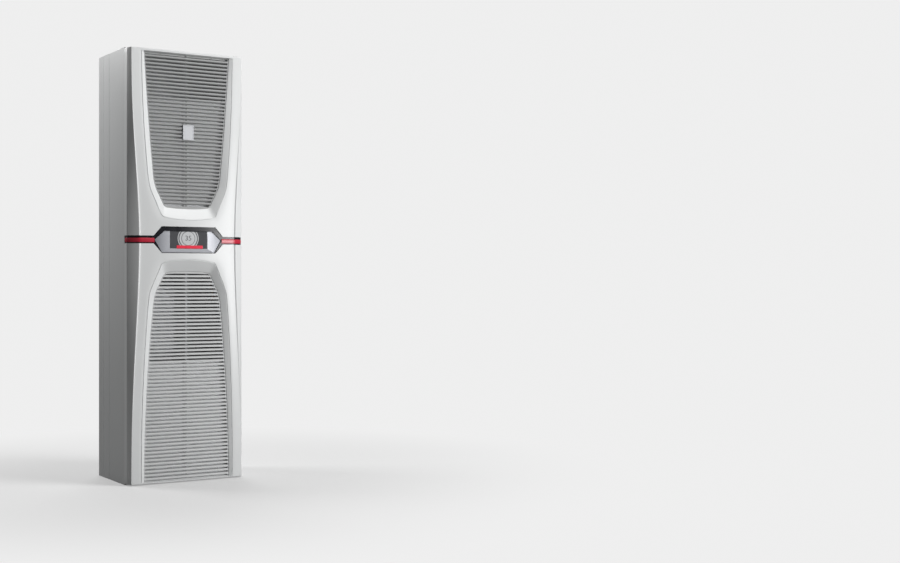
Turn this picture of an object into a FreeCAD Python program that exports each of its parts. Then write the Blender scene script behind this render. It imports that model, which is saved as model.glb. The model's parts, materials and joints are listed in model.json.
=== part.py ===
import FreeCAD, Part
import math
import os

# Enclosure air conditioner for the wall of a control cabinet.
# Millimetres, +Z up. The front faces -Y and +X is to the right of a person facing it.
# The origin is the centre of the base, on the surface that the unit stands on.

V = FreeCAD.Vector
X_AXIS = V(1, 0, 0)
Y_AXIS = V(0, 1, 0)
Z_AXIS = V(0, 0, 1)

# Outer size
WIDTH = 450.0
HEIGHT = 1600.0
BODY_DEPTH = 345.0
WAIST_BULGE = 17.0
EDGE_BULGE = 5.0
DEPTH = BODY_DEPTH + WAIST_BULGE
BACK_Y = DEPTH / 2
RAIL_Y = BACK_Y - BODY_DEPTH
HALF = WIDTH / 2

# Sheet metal shells
SHEET = 1.5
GASKET_THICK = 4.0
GASKET_WIDTH = 14.0
GASKET_INSET = 6.0
REAR_SHELL_DEPTH = 128.0
COVER_SIDE_DEPTH = 47.0
LINE_STARTS = (31.0, 59.0)
LINE_WIDTH = 1.2
LINE_DEPTH = 0.6
FLANGE = 14.0
PLATE = 2.0
SLIP = 0.3
PLATE_Y = BACK_Y - GASKET_THICK
BACK_INSIDE_Y = PLATE_Y - SHEET
SEAM_Y = BACK_Y - REAR_SHELL_DEPTH
PARTITION_BACK_Y = SEAM_Y + PLATE
COVER_BACK_Y = RAIL_Y + COVER_SIDE_DEPTH
INSIDE_HALF = HALF - SHEET

# Moulded front cover
COVER_WALL = 3.0
COVER_TOP_GAP = 4.0
COVER_BOTTOM_GAP = 5.0
FLANK_DEPTH = 21.0
FLANK_END_INSET = 9.5
FLANK_WAIST_INSET = 37.0
EASE_POWER = 1.2
FLANK_ROUND = 8.0
END_ROUND = 3.0
BAND_DROP = 703.0
BAND_Z = HEIGHT - BAND_DROP
COVER_TOP = HEIGHT - COVER_TOP_GAP
COVER_BOTTOM = COVER_BOTTOM_GAP
BOSS_R = 5.0
BOSS_LENGTH = 14.0
BOSS_SIDE_GAP = 8.0
SCREW_R = 2.0
SCREW_HEAD_R = 4.0
SCREW_HEAD = 3.0

# Louvre recesses: half widths, and rises away from the middle of the band
RECESS_SIDE_GAP = 58.5
RECESS_END_HALF = HALF - RECESS_SIDE_GAP
SHOULDER_INSET = 38.0
SHOULDER_HALF = RECESS_END_HALF - SHOULDER_INSET
SHOULDER_RISE = 203.0
CORNER_INSET = 40.5
CORNER_HALF = SHOULDER_HALF - CORNER_INSET
CORNER_RISE = 120.0
CROWN_RISE = 115.0
SHOULDER_ROUND = 150.0
CORNER_ROUND = 20.0
BEVEL_END = 11.5
BEVEL_SHOULDER = 23.5
BEVEL_SHOULDER_DROP = 8.0
BEVEL_CORNER = 16.0
BEVEL_CORNER_DROP = 36.0
BEVEL_CROWN_DROP = 43.0
UPPER_BOW = 2.5
UPPER_BEVEL_BOW = 6.0
LOWER_BOW = 8.5
LOWER_BEVEL_BOW = 8.0
TOP_RIM = 9.0
BOTTOM_RIM = 3.0
GRILLE_SETBACK = 5.0
GRILLE_DEPTH = 12.0
LEDGE = 8.0
CUTTER_REACH = 3.0
GRILLE_Y = RAIL_Y + GRILLE_SETBACK
LEDGE_Y = GRILLE_Y + GRILLE_DEPTH

# Louvre grilles
SLAT_PITCH = 13.75
SLAT_FACE = 6.9
SLAT_LEAN = 1.5
SLAT_DEPTH = 10.5
SLAT_RISE = 3.0
SLAT_TAIL = 2.5
GRILLE_GAP = 0.4
GRILLE_FRAME = 4.0
SLAT_CLEARANCE = 1.5
SLAT_SETBACK = 0.6
RIB_HALF = 3.0
RIB_THICK = 3.0
CLIP_R = 2.5
CLIP_LENGTH = 6.0
CLIP_X = 100.0
CLIP_GAP = 0.3
BADGE_WIDTH = 43.0
BADGE_HEIGHT = 57.0
BADGE_THICK = 3.0
BADGE_X = 4.0
BADGE_RISE = 400.0

# Display band
BAND_HALF_HEIGHT = 14.5
HEX_SIDE_GAP = 90.0
HEX_SLOPE = 30.0
HEX_TIP = HALF - HEX_SIDE_GAP
HEX_CORNER = HEX_TIP - HEX_SLOPE
HEX_HALF_HEIGHT = 49.0
GROOVE = 3.0
BAND_THICK = 3.0
BAND_LAP = 5.0
STRIP_HALF_HEIGHT = 8.0
STRIP_DROP = 2.0
STRIP_THICK = 2.0
STRIP_GAP = 3.0
STRIP_START = HEX_TIP + STRIP_GAP
VISOR = 16.0
VISOR_TIP = 5.0
VISOR_CORNER = 12.0
SILL = 2.0
DISPLAY_SINK = 1.5
DISPLAY_THICK = 4.5
GLASS_SIDE = 32.0
GLASS_HALF = HEX_CORNER - GLASS_SIDE
GLASS_BOTTOM_DROP = 32.0
GLASS_TOP_RISE = 33.0
GLASS_SINK = 6.5
GLASS_THICK = 3.0
DISPLAY_BOX_SIDE = 5.0
DISPLAY_BOX_HALF = HEX_CORNER + DISPLAY_BOX_SIDE
DISPLAY_BOX_DEPTH = 30.0
DISPLAY_WALL = 2.0
MODULE_THICK = 11.5
BOARD_THICK = 1.6

# Condenser and its two fans
COIL_SIDE_GAP = 75.0
COIL_HALF = HALF - COIL_SIDE_GAP
COIL_BASE_RISE = 115.0
COIL_FIN = 2.0
COIL_PITCH = 6.0
CORE_WEB = 10.0
CONDENSER_HEIGHT = 413.0
CONDENSER_THICK = 40.0
CONDENSER_GAP = 6.0
END_PLATE = 2.0
TAB_MARGIN = 65.0
SHROUD_SHEET = 2.0
SHROUD_STAND = 6.0
CONDENSER_FAN_R = 94.0
FAN_TIP_GAP = 5.0
FAN_SPACING = 207.0
HUB_R = 36.0
HUB_DEPTH = 30.0
HUB_START = 2.0
BLADE_CHORD = 48.0
BLADE_THICK = 2.5
BLADE_PITCH = 32.0
BLADE_COUNT = 7
MOTOR_R = 35.0
MOTOR_LENGTH = 40.0
MOTOR_GAP = 2.0
FAN_SHAFT_R = 4.0
SHAFT_GAP = 0.05
BRACKET_BAR = 16.0
BRACKET_SHEET = 3.0
BRACKET_POST = 8.0

# Compressor
COMPRESSOR_X = 40.0
COMPRESSOR_Y = -22.0
COMPRESSOR_R = 62.0
COMPRESSOR_WALL = 3.5
GROMMET_R = 12.0
GROMMET_HEIGHT = 24.0
GROMMET_SPAN_X = 150.0
GROMMET_SPAN_Y = 100.0
FOOT_PLATE = 4.0
FOOT_MARGIN = 14.0
CUP_HEIGHT = 220.0
CAP_HEIGHT = 70.0
CAP_ROUND = 30.0
PUMP_HEIGHT = 86.0
PUMP_SHAFT_R = 9.0
STATOR_START = 118.0
STATOR_HEIGHT = 80.0
ROTOR_R = 39.5
AIR_GAP = 0.5
SHAFT_LENGTH = 200.0
SHAFT_FLOOR = 8.0

# Inverter and control boxes
INVERTER_SIDE_GAP = 65.0
INVERTER_HALF = HALF - INVERTER_SIDE_GAP
INVERTER_HEIGHT = 435.0
INVERTER_DEPTH = 36.0
INVERTER_GAP = 4.0
BOX_WALL = 2.0
POST_R = 3.0
POST_HEIGHT = 8.0
HEATSINK_SIDE = 60.0
HEATSINK_LOW = 84.5
HEATSINK_TOP = 100.5
HEATSINK_HALF = INVERTER_HALF - HEATSINK_SIDE
HEATSINK_HEIGHT = INVERTER_HEIGHT - HEATSINK_LOW - HEATSINK_TOP
HEATSINK_BASE = 3.0
FIN_HEIGHT = 5.0
FIN_THICK = 2.0
FIN_COUNT = 20
CONTROL_LEFT = -150.0
CONTROL_WIDTH = 160.0
CONTROL_DROP = 417.0
CONTROL_BOTTOM = BAND_Z - CONTROL_DROP
CONTROL_HEIGHT = 240.0
CONTROL_DEPTH = 50.0

# Refrigerant circuit
PIPE_R = 5.0
PIPE_WALL = 1.0
PIPE_BEND = 14.0
PIPE_SIDE_GAP = 47.0
DISCHARGE_SIDE_GAP = 25.0
PIPE_X = HALF - PIPE_SIDE_GAP
DISCHARGE_X = HALF - DISCHARGE_SIDE_GAP
LIQUID_Y = 25.0
DRIER_R = 20.0
DRIER_HEIGHT = 120.0
DRIER_DROP = 137.0
DRIER_BOTTOM = BAND_Z - DRIER_DROP
VALVE_SIZE = 22.0
VALVE_HEIGHT = 40.0
VALVE_GAP = 20.0
PORT_MARGIN = 28.0
GROMMET_LIP = 3.0
SUCTION_Z = 200.0
DISCHARGE_TURN_Z = 400.0
DISCHARGE_OFFSET = 20.0

# Evaporator, its tray and its two fans
EVAPORATOR_DROP = 257.0
EVAPORATOR_BASE = BAND_Z - EVAPORATOR_DROP
PASS_RISE = 30.0
PASS_Z = EVAPORATOR_BASE + PASS_RISE
EVAPORATOR_HEIGHT = 440.0
EVAPORATOR_THICK = 50.0
EVAPORATOR_GAP = 20.0
TRAY_SIDE_GAP = 35.0
TRAY_HALF = HALF - TRAY_SIDE_GAP
TRAY_DEPTH = 85.0
TRAY_HEIGHT = 35.0
TRAY_DROP = 15.0
TRAY_WALL = 2.0
DRAIN_EDGE = 25.0
DRAIN_X = TRAY_HALF - DRAIN_EDGE
DRAIN_Y = 105.0
DRAIN_R = 8.0
DRAIN_BORE_R = 6.0
BLOWER_X = 105.0
BLOWER_DROP = 190.0
BLOWER_R = 88.0
BLOWER_MOTOR_R = 42.0
BLOWER_MOTOR_LENGTH = 45.0
BLOWER_HUB_R = 20.0
BLOWER_DISC = 3.0
BLOWER_DEPTH = 46.0
BLOWER_BLADES = 9
BLOWER_BLADE_IN = 52.0
BLOWER_SHAFT_R = 5.0
BLOWER_SHAFT = 38.0
INLET_R = 57.0
INLET_WALL = 2.0
INLET_FLANGE = 26.0
INLET_GAP = 3.0
GUARD_WIRE = 2.0
GUARD_PITCH = 18.0

# Rear outlet, sockets and inserts
OUTLET_SIDE_GAP = 55.0
OUTLET_HALF = HALF - OUTLET_SIDE_GAP
OUTLET_BOTTOM = 120.0
OUTLET_FRAME = 10.0
OUTLET_BAR = 4.0
OUTLET_PITCH = 20.0
SOCKET_DROP = 150.0
SOCKET_Z = EVAPORATOR_BASE - SOCKET_DROP
OUTLET_DROP = 90.0
OUTLET_HEIGHT = SOCKET_Z - OUTLET_DROP - OUTLET_BOTTOM
SOCKET_DEPTH = 27.0
SOCKET_WALL = 3.0
MAINS_SOCKET = (48.0, 32.0, -120.0)
SIGNAL_SOCKET = (40.0, 18.0, -40.0)
NETWORK_SOCKET = (24.0, 22.0, 30.0)
CONNECTOR_ROW = 70.0
EARTH_STUD_X = 100.0
EARTH_STUD_R = 4.0
INSERT_R = 7.0
INSERT_CORE_R = 3.4
INSERT_LENGTH = 17.0
INSERT_SIDE_GAP = 35.0
INSERT_X = HALF - INSERT_SIDE_GAP
INSERT_MARGIN = 60.0
LIFT_SIDE_GAP = 75.0
LIFT_X = HALF - LIFT_SIDE_GAP
LIFT_R = 9.0
LIFT_CORE_R = 5.1
LIFT_LENGTH = 22.0
LIFT_FRONT_Y = -60.0
LIFT_REAR_Y = 120.0

EPS = 1.0
NODES = {}


def box(low, high):
    size = [high[i] - low[i] for i in range(3)]
    return Part.makeBox(size[0], size[1], size[2], V(*low))


def cylinder(centre, radius, length, axis):
    return Part.makeCylinder(radius, length, V(*centre), axis)


def tube(centre, outer, inner, length, axis):
    body = cylinder(centre, outer, length, axis)
    start = V(*centre) - axis * EPS
    return body.cut(Part.makeCylinder(inner, length + 2 * EPS, start, axis))


def prism_xz(points, y_low, y_high):
    corners = [V(x, y_low, z) for x, z in points]
    face = Part.Face(Part.makePolygon(corners + corners[:1]))
    return face.extrude(V(0, y_high - y_low, 0))


def fuse_all(shapes):
    return shapes[0].multiFuse(shapes[1:]).removeSplitter()


def pipe(points, radius, wall, bend):
    """A tube along straight runs with one arc at each inner point."""
    corners = [V(*p) for p in points]
    edges = []
    start = corners[0]
    for before, corner, after in zip(corners, corners[1:], corners[2:]):
        arrive = (corner - before).normalize()
        leave = (after - corner).normalize()
        half_turn = arrive.getAngle(leave) / 2
        trim = bend * math.tan(half_turn)
        enter = corner - arrive * trim
        exit_point = corner + leave * trim
        inward = (leave - arrive).normalize()
        middle = corner + inward * (bend / math.cos(half_turn) - bend)
        edges.append(Part.makeLine(start, enter))
        edges.append(Part.Arc(enter, middle, exit_point).toShape())
        start = exit_point
    edges.append(Part.makeLine(start, corners[-1]))
    path = Part.Wire(edges)
    heading = corners[1] - corners[0]
    outer = Part.Wire(Part.makeCircle(radius, corners[0], heading))
    inner = Part.Wire(Part.makeCircle(radius - wall, corners[0], heading))
    solid = path.makePipeShell([outer], True, False)
    core = path.makePipeShell([inner], True, False)
    return solid.cut(core)


# Shape of the front

def waist_share(z):
    """0 at the top and bottom of the cover, 1 at the middle of the band."""
    if z > BAND_Z:
        t = (COVER_TOP - z) / (COVER_TOP - BAND_Z)
    else:
        t = (z - COVER_BOTTOM) / (BAND_Z - COVER_BOTTOM)
    t = max(t, 0.0) ** EASE_POWER
    return t * t * (3 - 2 * t)


def flank_inset(z):
    return FLANK_END_INSET + (FLANK_WAIST_INSET - FLANK_END_INSET) * waist_share(z)


def bulge(x, z):
    """How far the front stands ahead of the rails' plane."""
    edge = HALF - flank_inset(z)
    fall = (WAIST_BULGE - EDGE_BULGE) * (x / edge) ** 2
    return waist_share(z) * (WAIST_BULGE - fall)


def front_section(z, inset, back):
    """Plan outline of the front at height z, moved inwards by inset."""
    side = HALF - inset
    edge = HALF - flank_inset(z) - inset
    flank_y = RAIL_Y + FLANK_DEPTH + inset / 2
    edge_y = RAIL_Y + inset - waist_share(z) * EDGE_BULGE
    crown_y = RAIL_Y + inset - waist_share(z) * WAIST_BULGE
    left = [V(-side, back, z), V(-side, flank_y, z), V(-edge, edge_y, z)]
    right = [V(edge, edge_y, z), V(side, flank_y, z), V(side, back, z)]
    arc = Part.BezierCurve()
    arc.setPoles([left[2], V(0, 2 * crown_y - edge_y, z), right[0]])
    edges = [Part.makeLine(left[0], left[1]), Part.makeLine(left[1], left[2])]
    edges.append(arc.toShape())
    edges += [Part.makeLine(right[0], right[1]), Part.makeLine(right[1], right[2])]
    edges.append(Part.makeLine(right[2], left[0]))
    return Part.Wire(edges)


def front_block(inset, back, end_gap):
    """Solid behind the front surface, lofted through plan sections."""
    low = COVER_BOTTOM + end_gap
    high = COVER_TOP - end_gap
    steps = 4
    lower = [low + (BAND_Z - low) * i / steps for i in range(steps)]
    upper = [BAND_Z + (high - BAND_Z) * i / steps for i in range(steps + 1)]
    wires = [front_section(z, inset, back) for z in lower + upper]
    return Part.makeLoft(wires, True, False)


def rounded_front():
    """The outer block of the front with its long edges and its ends rounded."""
    block = front_block(0.0, COVER_BACK_Y, 0.0)
    long_edges = [e for e in block.Edges if e.BoundBox.ZLength > BAND_Z]
    long_edges = [e for e in long_edges if e.CenterOfMass.y < COVER_BACK_Y - EPS]
    block = block.makeFillet(FLANK_ROUND, long_edges)
    ends = [e for e in block.Edges if e.BoundBox.ZLength < SLIP and e.CenterOfMass.y < COVER_BACK_Y - EPS]
    return block.makeFillet(END_ROUND, ends)


def recess_wire(side, bow, y):
    """Closed outline of an upward recess in the plane y, from one half's corner points."""
    end, shoulder, corner, crown = side
    middle = ((end[0] + shoulder[0]) / 2 + bow, (end[1] + shoulder[1]) / 2)

    def at(point, sign):
        return V(sign * point[0], y, BAND_Z + point[1])

    edges = [Part.Arc(at(end, 1), at(middle, 1), at(shoulder, 1)).toShape()]
    edges.append(Part.makeLine(at(shoulder, 1), at(corner, 1)))
    edges.append(Part.Arc(at(corner, 1), at((0.0, crown), 1), at(corner, -1)).toShape())
    edges.append(Part.makeLine(at(corner, -1), at(shoulder, -1)))
    edges.append(Part.Arc(at(shoulder, -1), at(middle, -1), at(end, -1)).toShape())
    points = [at(shoulder, 1), at(corner, 1), at(corner, -1), at(shoulder, -1)]
    radii = [SHOULDER_ROUND, CORNER_ROUND, CORNER_ROUND, SHOULDER_ROUND]
    plane = Part.Plane(V(0, y, 0), Y_AXIS)
    rounded = edges[:1]
    for following, point, radius in zip(edges[1:], points, radii):
        tool = Part.ChFi2d.FilletAPI(rounded[-1], following, plane)
        tool.perform(radius)
        arc, before, after = tool.result(point)
        rounded[-1] = before
        rounded += [arc, after]
    return Part.Wire([Part.makeLine(at(end, -1), at(end, 1))] + rounded)


def recess_halves(end_rise):
    """Half width and rise of a recess's corners: at the grille, and on the front surface."""
    inner = [
        (RECESS_END_HALF, end_rise),
        (SHOULDER_HALF, SHOULDER_RISE),
        (CORNER_HALF, CORNER_RISE),
        CROWN_RISE,
    ]
    outer = [
        (RECESS_END_HALF + BEVEL_END, end_rise),
        (SHOULDER_HALF + BEVEL_SHOULDER, SHOULDER_RISE - BEVEL_SHOULDER_DROP),
        (CORNER_HALF + BEVEL_CORNER, CORNER_RISE - BEVEL_CORNER_DROP),
        CROWN_RISE - BEVEL_CROWN_DROP,
    ]
    return inner, outer


def carry_forward(near, far, reach, up):
    """A point of the bevel carried on from the grille, past the front surface, to reach ahead."""
    share = reach / (GRILLE_SETBACK + bulge(far[0], BAND_Z + up * far[1]))
    return (near[0] + (far[0] - near[0]) * share, near[1] + (far[1] - near[1]) * share)


class Recess:
    """One bevelled recess of the front and the outline of the grille in it."""

    def __init__(self, up, end_rise, bow, bevel_bow):
        self.up = up
        self.bow = bow
        self.inner, outer = recess_halves(end_rise)
        reach = GRILLE_SETBACK + WAIST_BULGE + CUTTER_REACH
        ahead = [carry_forward(a, b, reach, up) for a, b in zip(self.inner[:3], outer[:3])]
        ahead.append(carry_forward((0.0, self.inner[3]), (0.0, outer[3]), reach, up)[1])
        halves = [(side[0][0] + side[1][0]) / 2 for side in (self.inner, outer, ahead)]
        rises = [(side[0][1] + side[1][1]) / 2 for side in (self.inner, outer)]
        near = (halves[0] + bow, rises[0])
        far = (halves[1] + bevel_bow, rises[1])
        ahead_bow = carry_forward(near, far, reach, up)[0] - halves[2]
        front = recess_wire(ahead, ahead_bow, GRILLE_Y - reach)
        foot = self.outline(0.0, GRILLE_Y)
        self.cutter = self.placed(Part.makeLoft([front, foot, self.outline(0.0, LEDGE_Y)], True, True))
        sunk = front.translated(V(0, COVER_WALL, 0))
        walls = [self.walled(GRILLE_Y + COVER_WALL), self.walled(LEDGE_Y + COVER_WALL)]
        self.backing = self.placed(Part.makeLoft([sunk] + walls, True, True))
        self.end_rise = end_rise
        self.end_z = BAND_Z + up * end_rise
        self.crown_z = BAND_Z + up * CROWN_RISE

    def placed(self, shape):
        """A shape built upward, mirrored at the band for the lower recess."""
        return shape if self.up > 0 else shape.mirror(V(0, 0, BAND_Z), Z_AXIS)

    def outline(self, grow, y):
        wire = recess_wire(self.inner, self.bow, y)
        if grow == 0.0:
            return wire
        return wire.makeOffset2D(grow, 2, False, False)

    def prism(self, grow, y_low, y_high):
        return self.placed(Part.Face(self.outline(grow, y_low)).extrude(V(0, y_high - y_low, 0)))

    def slab(self, low, high):
        """Everything between two rises."""
        ends = sorted((BAND_Z + self.up * low, BAND_Z + self.up * high))
        return box((-WIDTH, -DEPTH, ends[0]), (WIDTH, DEPTH, ends[1]))

    def walled(self, y):
        """The outline at the grille, moved out by the cover's wall on every side."""
        end, shoulder, corner, crown = self.inner
        moved = [(end[0] + COVER_WALL, end[1] + COVER_WALL)]
        moved += [(x + COVER_WALL, rise) for x, rise in (shoulder, corner)]
        moved.append(crown - COVER_WALL)
        return recess_wire(moved, self.bow, y)

    def opening(self):
        return self.prism(-LEDGE, LEDGE_Y - EPS, LEDGE_Y + COVER_WALL + EPS)

    def clip_points(self):
        """Centres of the clips: two at the wide end of the ledge and one at the narrow end."""
        inset = self.up * LEDGE / 2
        ends = [(sign * CLIP_X, self.end_z - inset) for sign in (-1, 1)]
        return ends + [(0.0, self.crown_z + inset)]


UPPER_RECESS = Recess(1, COVER_TOP - TOP_RIM - BAND_Z, UPPER_BOW, UPPER_BEVEL_BOW)
LOWER_RECESS = Recess(-1, BAND_Z - COVER_BOTTOM - BOTTOM_RIM, LOWER_BOW, LOWER_BEVEL_BOW)

BAND_TOP = BAND_Z + BAND_HALF_HEIGHT
BAND_BOTTOM = BAND_Z - BAND_HALF_HEIGHT
HEX_TOP = BAND_Z + HEX_HALF_HEIGHT
HEX_BOTTOM = BAND_Z - HEX_HALF_HEIGHT


def band_region(grow):
    """Outline of the band: a strip across the unit that widens to a hexagon."""
    wide = HALF + EPS
    top = [(-wide, BAND_TOP + grow), (-HEX_TIP - grow, BAND_TOP + grow)]
    top += [(-HEX_CORNER - grow, HEX_TOP + grow), (HEX_CORNER + grow, HEX_TOP + grow)]
    top += [(HEX_TIP + grow, BAND_TOP + grow), (wide, BAND_TOP + grow)]
    bottom = [(x, 2 * BAND_Z - z) for x, z in reversed(top)]
    return prism_xz(top + bottom, RAIL_Y - 2 * WAIST_BULGE, COVER_BACK_Y + EPS)


def cover_half(block, hollow, recess, up):
    """One half of the front cover: skin, bevelled recess with its ledge, and screw bosses."""
    skin = block.cut(recess.cutter)
    inside = hollow.cut(recess.backing)
    shell = skin.cut(inside).cut(recess.opening())
    far = 2 * HEIGHT
    low = BAND_Z if up > 0 else -far
    high = far if up > 0 else BAND_Z
    half_space = box((-far, -far, low), (far, far, high)).cut(band_region(0.0))
    shell = shell.common(half_space)
    bosses = []
    for x, z in boss_points(up):
        post = cylinder((x, COVER_BACK_Y - BOSS_LENGTH, z), BOSS_R, BOSS_LENGTH, Y_AXIS)
        wall = HALF - COVER_WALL
        reach = sorted((x, math.copysign(wall, x)))
        web = box(
            (reach[0], COVER_BACK_Y - BOSS_LENGTH, z - SCREW_R),
            (reach[1], COVER_BACK_Y, z + SCREW_R),
        )
        bosses += [post, web]
    shell = shell.multiFuse(bosses)
    for x, z in boss_points(up):
        shell = shell.cut(cylinder((x, COVER_BACK_Y - BOSS_LENGTH + EPS, z), SCREW_R, BOSS_LENGTH, Y_AXIS))
    for x, z in recess.clip_points():
        shell = shell.cut(cylinder((x, LEDGE_Y - EPS, z), CLIP_R + CLIP_GAP, 3 * COVER_WALL, Y_AXIS))
    return shell.removeSplitter()


def boss_points(up):
    x = HALF - COVER_WALL - BOSS_SIDE_GAP
    end = COVER_TOP - INSERT_MARGIN if up > 0 else COVER_BOTTOM + INSERT_MARGIN
    waist = BAND_Z + up * INSERT_MARGIN
    return [(s * x, z) for s in (-1, 1) for z in (end, waist)]


def front_covers():
    block = rounded_front()
    hollow = front_block(COVER_WALL, COVER_BACK_Y + EPS, COVER_WALL)
    NODES["upper_cover"] = cover_half(block, hollow, UPPER_RECESS, 1)
    NODES["lower_cover"] = cover_half(block, hollow, LOWER_RECESS, -1)
    shaft = BOSS_LENGTH + SHEET - 2 * EPS
    screws = []
    for x, z in boss_points(1) + boss_points(-1):
        head_y = COVER_BACK_Y + SHEET
        stem = cylinder((x, head_y - shaft, z), SCREW_R, shaft, Y_AXIS)
        screws.append(stem.fuse(cylinder((x, head_y, z), SCREW_HEAD_R, SCREW_HEAD, Y_AXIS)))
    return screws


def grille(recess):
    """Frame, louvre slats, centre rib and clips of one grille, as one moulding."""
    rim = GRILLE_GAP + GRILLE_FRAME
    low = CORNER_RISE + rim
    high = recess.end_rise - rim
    window = recess.prism(-rim, GRILLE_Y - EPS, LEDGE_Y + EPS)
    window = window.common(recess.slab(low, high))
    frame = recess.prism(-GRILLE_GAP, GRILLE_Y, LEDGE_Y).cut(window)
    room = high - low - SLAT_FACE - SLAT_RISE - 2 * SLAT_CLEARANCE
    count = int(room / SLAT_PITCH) + 1
    start = low + SLAT_CLEARANCE + SLAT_RISE + (room - (count - 1) * SLAT_PITCH) / 2
    slats = []
    tip_y = GRILLE_Y + SLAT_SETBACK
    tail_y = GRILLE_Y + SLAT_DEPTH
    for i in range(count):
        rise = start + i * SLAT_PITCH
        profile = [
            (tip_y, rise + SLAT_FACE),
            (tip_y + SLAT_LEAN, rise),
            (tail_y, rise - SLAT_RISE),
            (tail_y, rise - SLAT_RISE + SLAT_TAIL),
        ]
        corners = [V(-HALF, y, BAND_Z + recess.up * r) for y, r in profile]
        slats.append(Part.Face(Part.makePolygon(corners + corners[:1])).extrude(V(WIDTH, 0, 0)))
    field = recess.prism(-GRILLE_GAP - GRILLE_FRAME / 2, GRILLE_Y - EPS, LEDGE_Y + EPS)
    trimmed = Part.makeCompound(slats).common(field)
    ends = sorted((BAND_Z + recess.up * (low - EPS), BAND_Z + recess.up * (high + EPS)))
    rib = box((-RIB_HALF, LEDGE_Y - RIB_THICK, ends[0]), (RIB_HALF, LEDGE_Y, ends[1]))
    clips = []
    for x, z in recess.clip_points():
        root_y = LEDGE_Y - GRILLE_DEPTH / 2
        clips.append(cylinder((x, root_y, z), CLIP_R, LEDGE_Y - root_y + CLIP_LENGTH, Y_AXIS))
    return fuse_all([frame, rib] + trimmed.Solids + clips)


def grilles():
    NODES["upper_grille"] = grille(UPPER_RECESS)
    NODES["lower_grille"] = grille(LOWER_RECESS)
    bottom = BAND_Z + BADGE_RISE - BADGE_HEIGHT / 2
    NODES["badge_plate"] = box(
        (BADGE_X - BADGE_WIDTH / 2, GRILLE_Y - BADGE_THICK, bottom),
        (BADGE_X + BADGE_WIDTH / 2, GRILLE_Y, bottom + BADGE_HEIGHT),
    )


def display_window(shrink):
    """Outline of the display frame inside the hexagon."""
    tip = HEX_TIP - VISOR_TIP - shrink
    top = HEX_CORNER - VISOR_CORNER - shrink
    low = HEX_CORNER - SILL - shrink
    z_top = HEX_TOP - VISOR - shrink
    z_low = HEX_BOTTOM + SILL + shrink
    return [(-tip, BAND_Z), (-top, z_top), (top, z_top), (tip, BAND_Z), (low, z_low), (-low, z_low)]


def display_band():
    groove = front_block(GROOVE, COVER_BACK_Y, COVER_WALL)
    behind = front_block(GROOVE + BAND_THICK, COVER_BACK_Y + EPS, COVER_WALL)
    front_y = RAIL_Y - 2 * WAIST_BULGE
    window = prism_xz(display_window(0.0), front_y, COVER_BACK_Y)
    band = groove.cut(behind).common(band_region(BAND_LAP))
    NODES["centre_band"] = band.cut(window)

    strip_face = front_block(GROOVE - STRIP_THICK, COVER_BACK_Y, COVER_WALL)
    strip = strip_face.cut(front_block(GROOVE, COVER_BACK_Y + EPS, COVER_WALL))
    middle = BAND_Z - STRIP_DROP
    strips = []
    for sign in (-1, 1):
        ends = sorted((sign * STRIP_START, sign * (HALF + EPS)))
        keep = box(
            (ends[0], front_y, middle - STRIP_HALF_HEIGHT),
            (ends[1], COVER_BACK_Y + EPS, middle + STRIP_HALF_HEIGHT),
        )
        strips.append(strip.common(keep))
    NODES["light_strips"] = Part.makeCompound(strips)

    glass_low = BAND_Z - GLASS_BOTTOM_DROP
    glass_high = BAND_Z + GLASS_TOP_RISE
    face_inset = GROOVE + DISPLAY_SINK
    face = front_block(face_inset, COVER_BACK_Y, COVER_WALL)
    seat = front_block(face_inset + DISPLAY_THICK, COVER_BACK_Y + EPS, COVER_WALL)
    face = face.cut(seat)
    face = face.common(prism_xz(display_window(SLIP / 2), front_y, COVER_BACK_Y))
    glass_hole = box((-GLASS_HALF, front_y, glass_low), (GLASS_HALF, COVER_BACK_Y, glass_high - SLIP))
    NODES["display_frame"] = face.cut(glass_hole)

    glass_y = RAIL_Y - WAIST_BULGE + GLASS_SINK
    module_y = glass_y + GLASS_THICK
    board_y = module_y + MODULE_THICK
    half = GLASS_HALF - SLIP
    low = glass_low + SLIP
    high = glass_high - 2 * SLIP
    NODES["display_glass"] = box((-half, glass_y, low), (half, module_y, high))

    outer = DISPLAY_BOX_HALF
    inner = outer - DISPLAY_WALL
    back = RAIL_Y + DISPLAY_BOX_DEPTH
    rim = box((-outer, front_y, HEX_BOTTOM), (outer, back, HEX_TOP))
    room = box(
        (-inner, front_y - EPS, HEX_BOTTOM + DISPLAY_WALL),
        (inner, back - DISPLAY_WALL, HEX_TOP - DISPLAY_WALL),
    )
    NODES["display_housing"] = rim.cut(room).common(seat)
    parts = [box((-half, module_y, low), (half, board_y, high))]
    parts.append(box((-inner + SLIP, board_y, low), (inner - SLIP, board_y + BOARD_THICK, high)))
    post = back - DISPLAY_WALL - board_y - BOARD_THICK
    for x in (-inner + FLANGE, inner - FLANGE):
        for z in (low + POST_HEIGHT, high - POST_HEIGHT):
            parts.append(cylinder((x, board_y + BOARD_THICK, z), POST_R, post, Y_AXIS))
    NODES["display_board"] = fuse_all(parts)


def ring_flange(y_low):
    """Inward flange all round the front shell, seen along Y."""
    outer = box((-HALF, y_low, 0), (HALF, y_low + SHEET, HEIGHT))
    edge = SHEET + FLANGE
    hole = box((-HALF + edge, y_low - EPS, edge), (HALF - edge, y_low + SHEET + EPS, HEIGHT - edge))
    return outer.cut(hole)


def lift_points():
    return [(s * LIFT_X, y) for s in (-1, 1) for y in (LIFT_FRONT_Y, LIFT_REAR_Y)]


def partition_screw_points():
    x = INSIDE_HALF - FLANGE / 2
    z_low = SHEET + FLANGE / 2
    z_high = HEIGHT - z_low
    sides = [(s * x, z) for s in (-1, 1) for z in (z_low, BAND_Z, z_high)]
    return sides + [(0.0, z_low), (0.0, z_high)]


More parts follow.
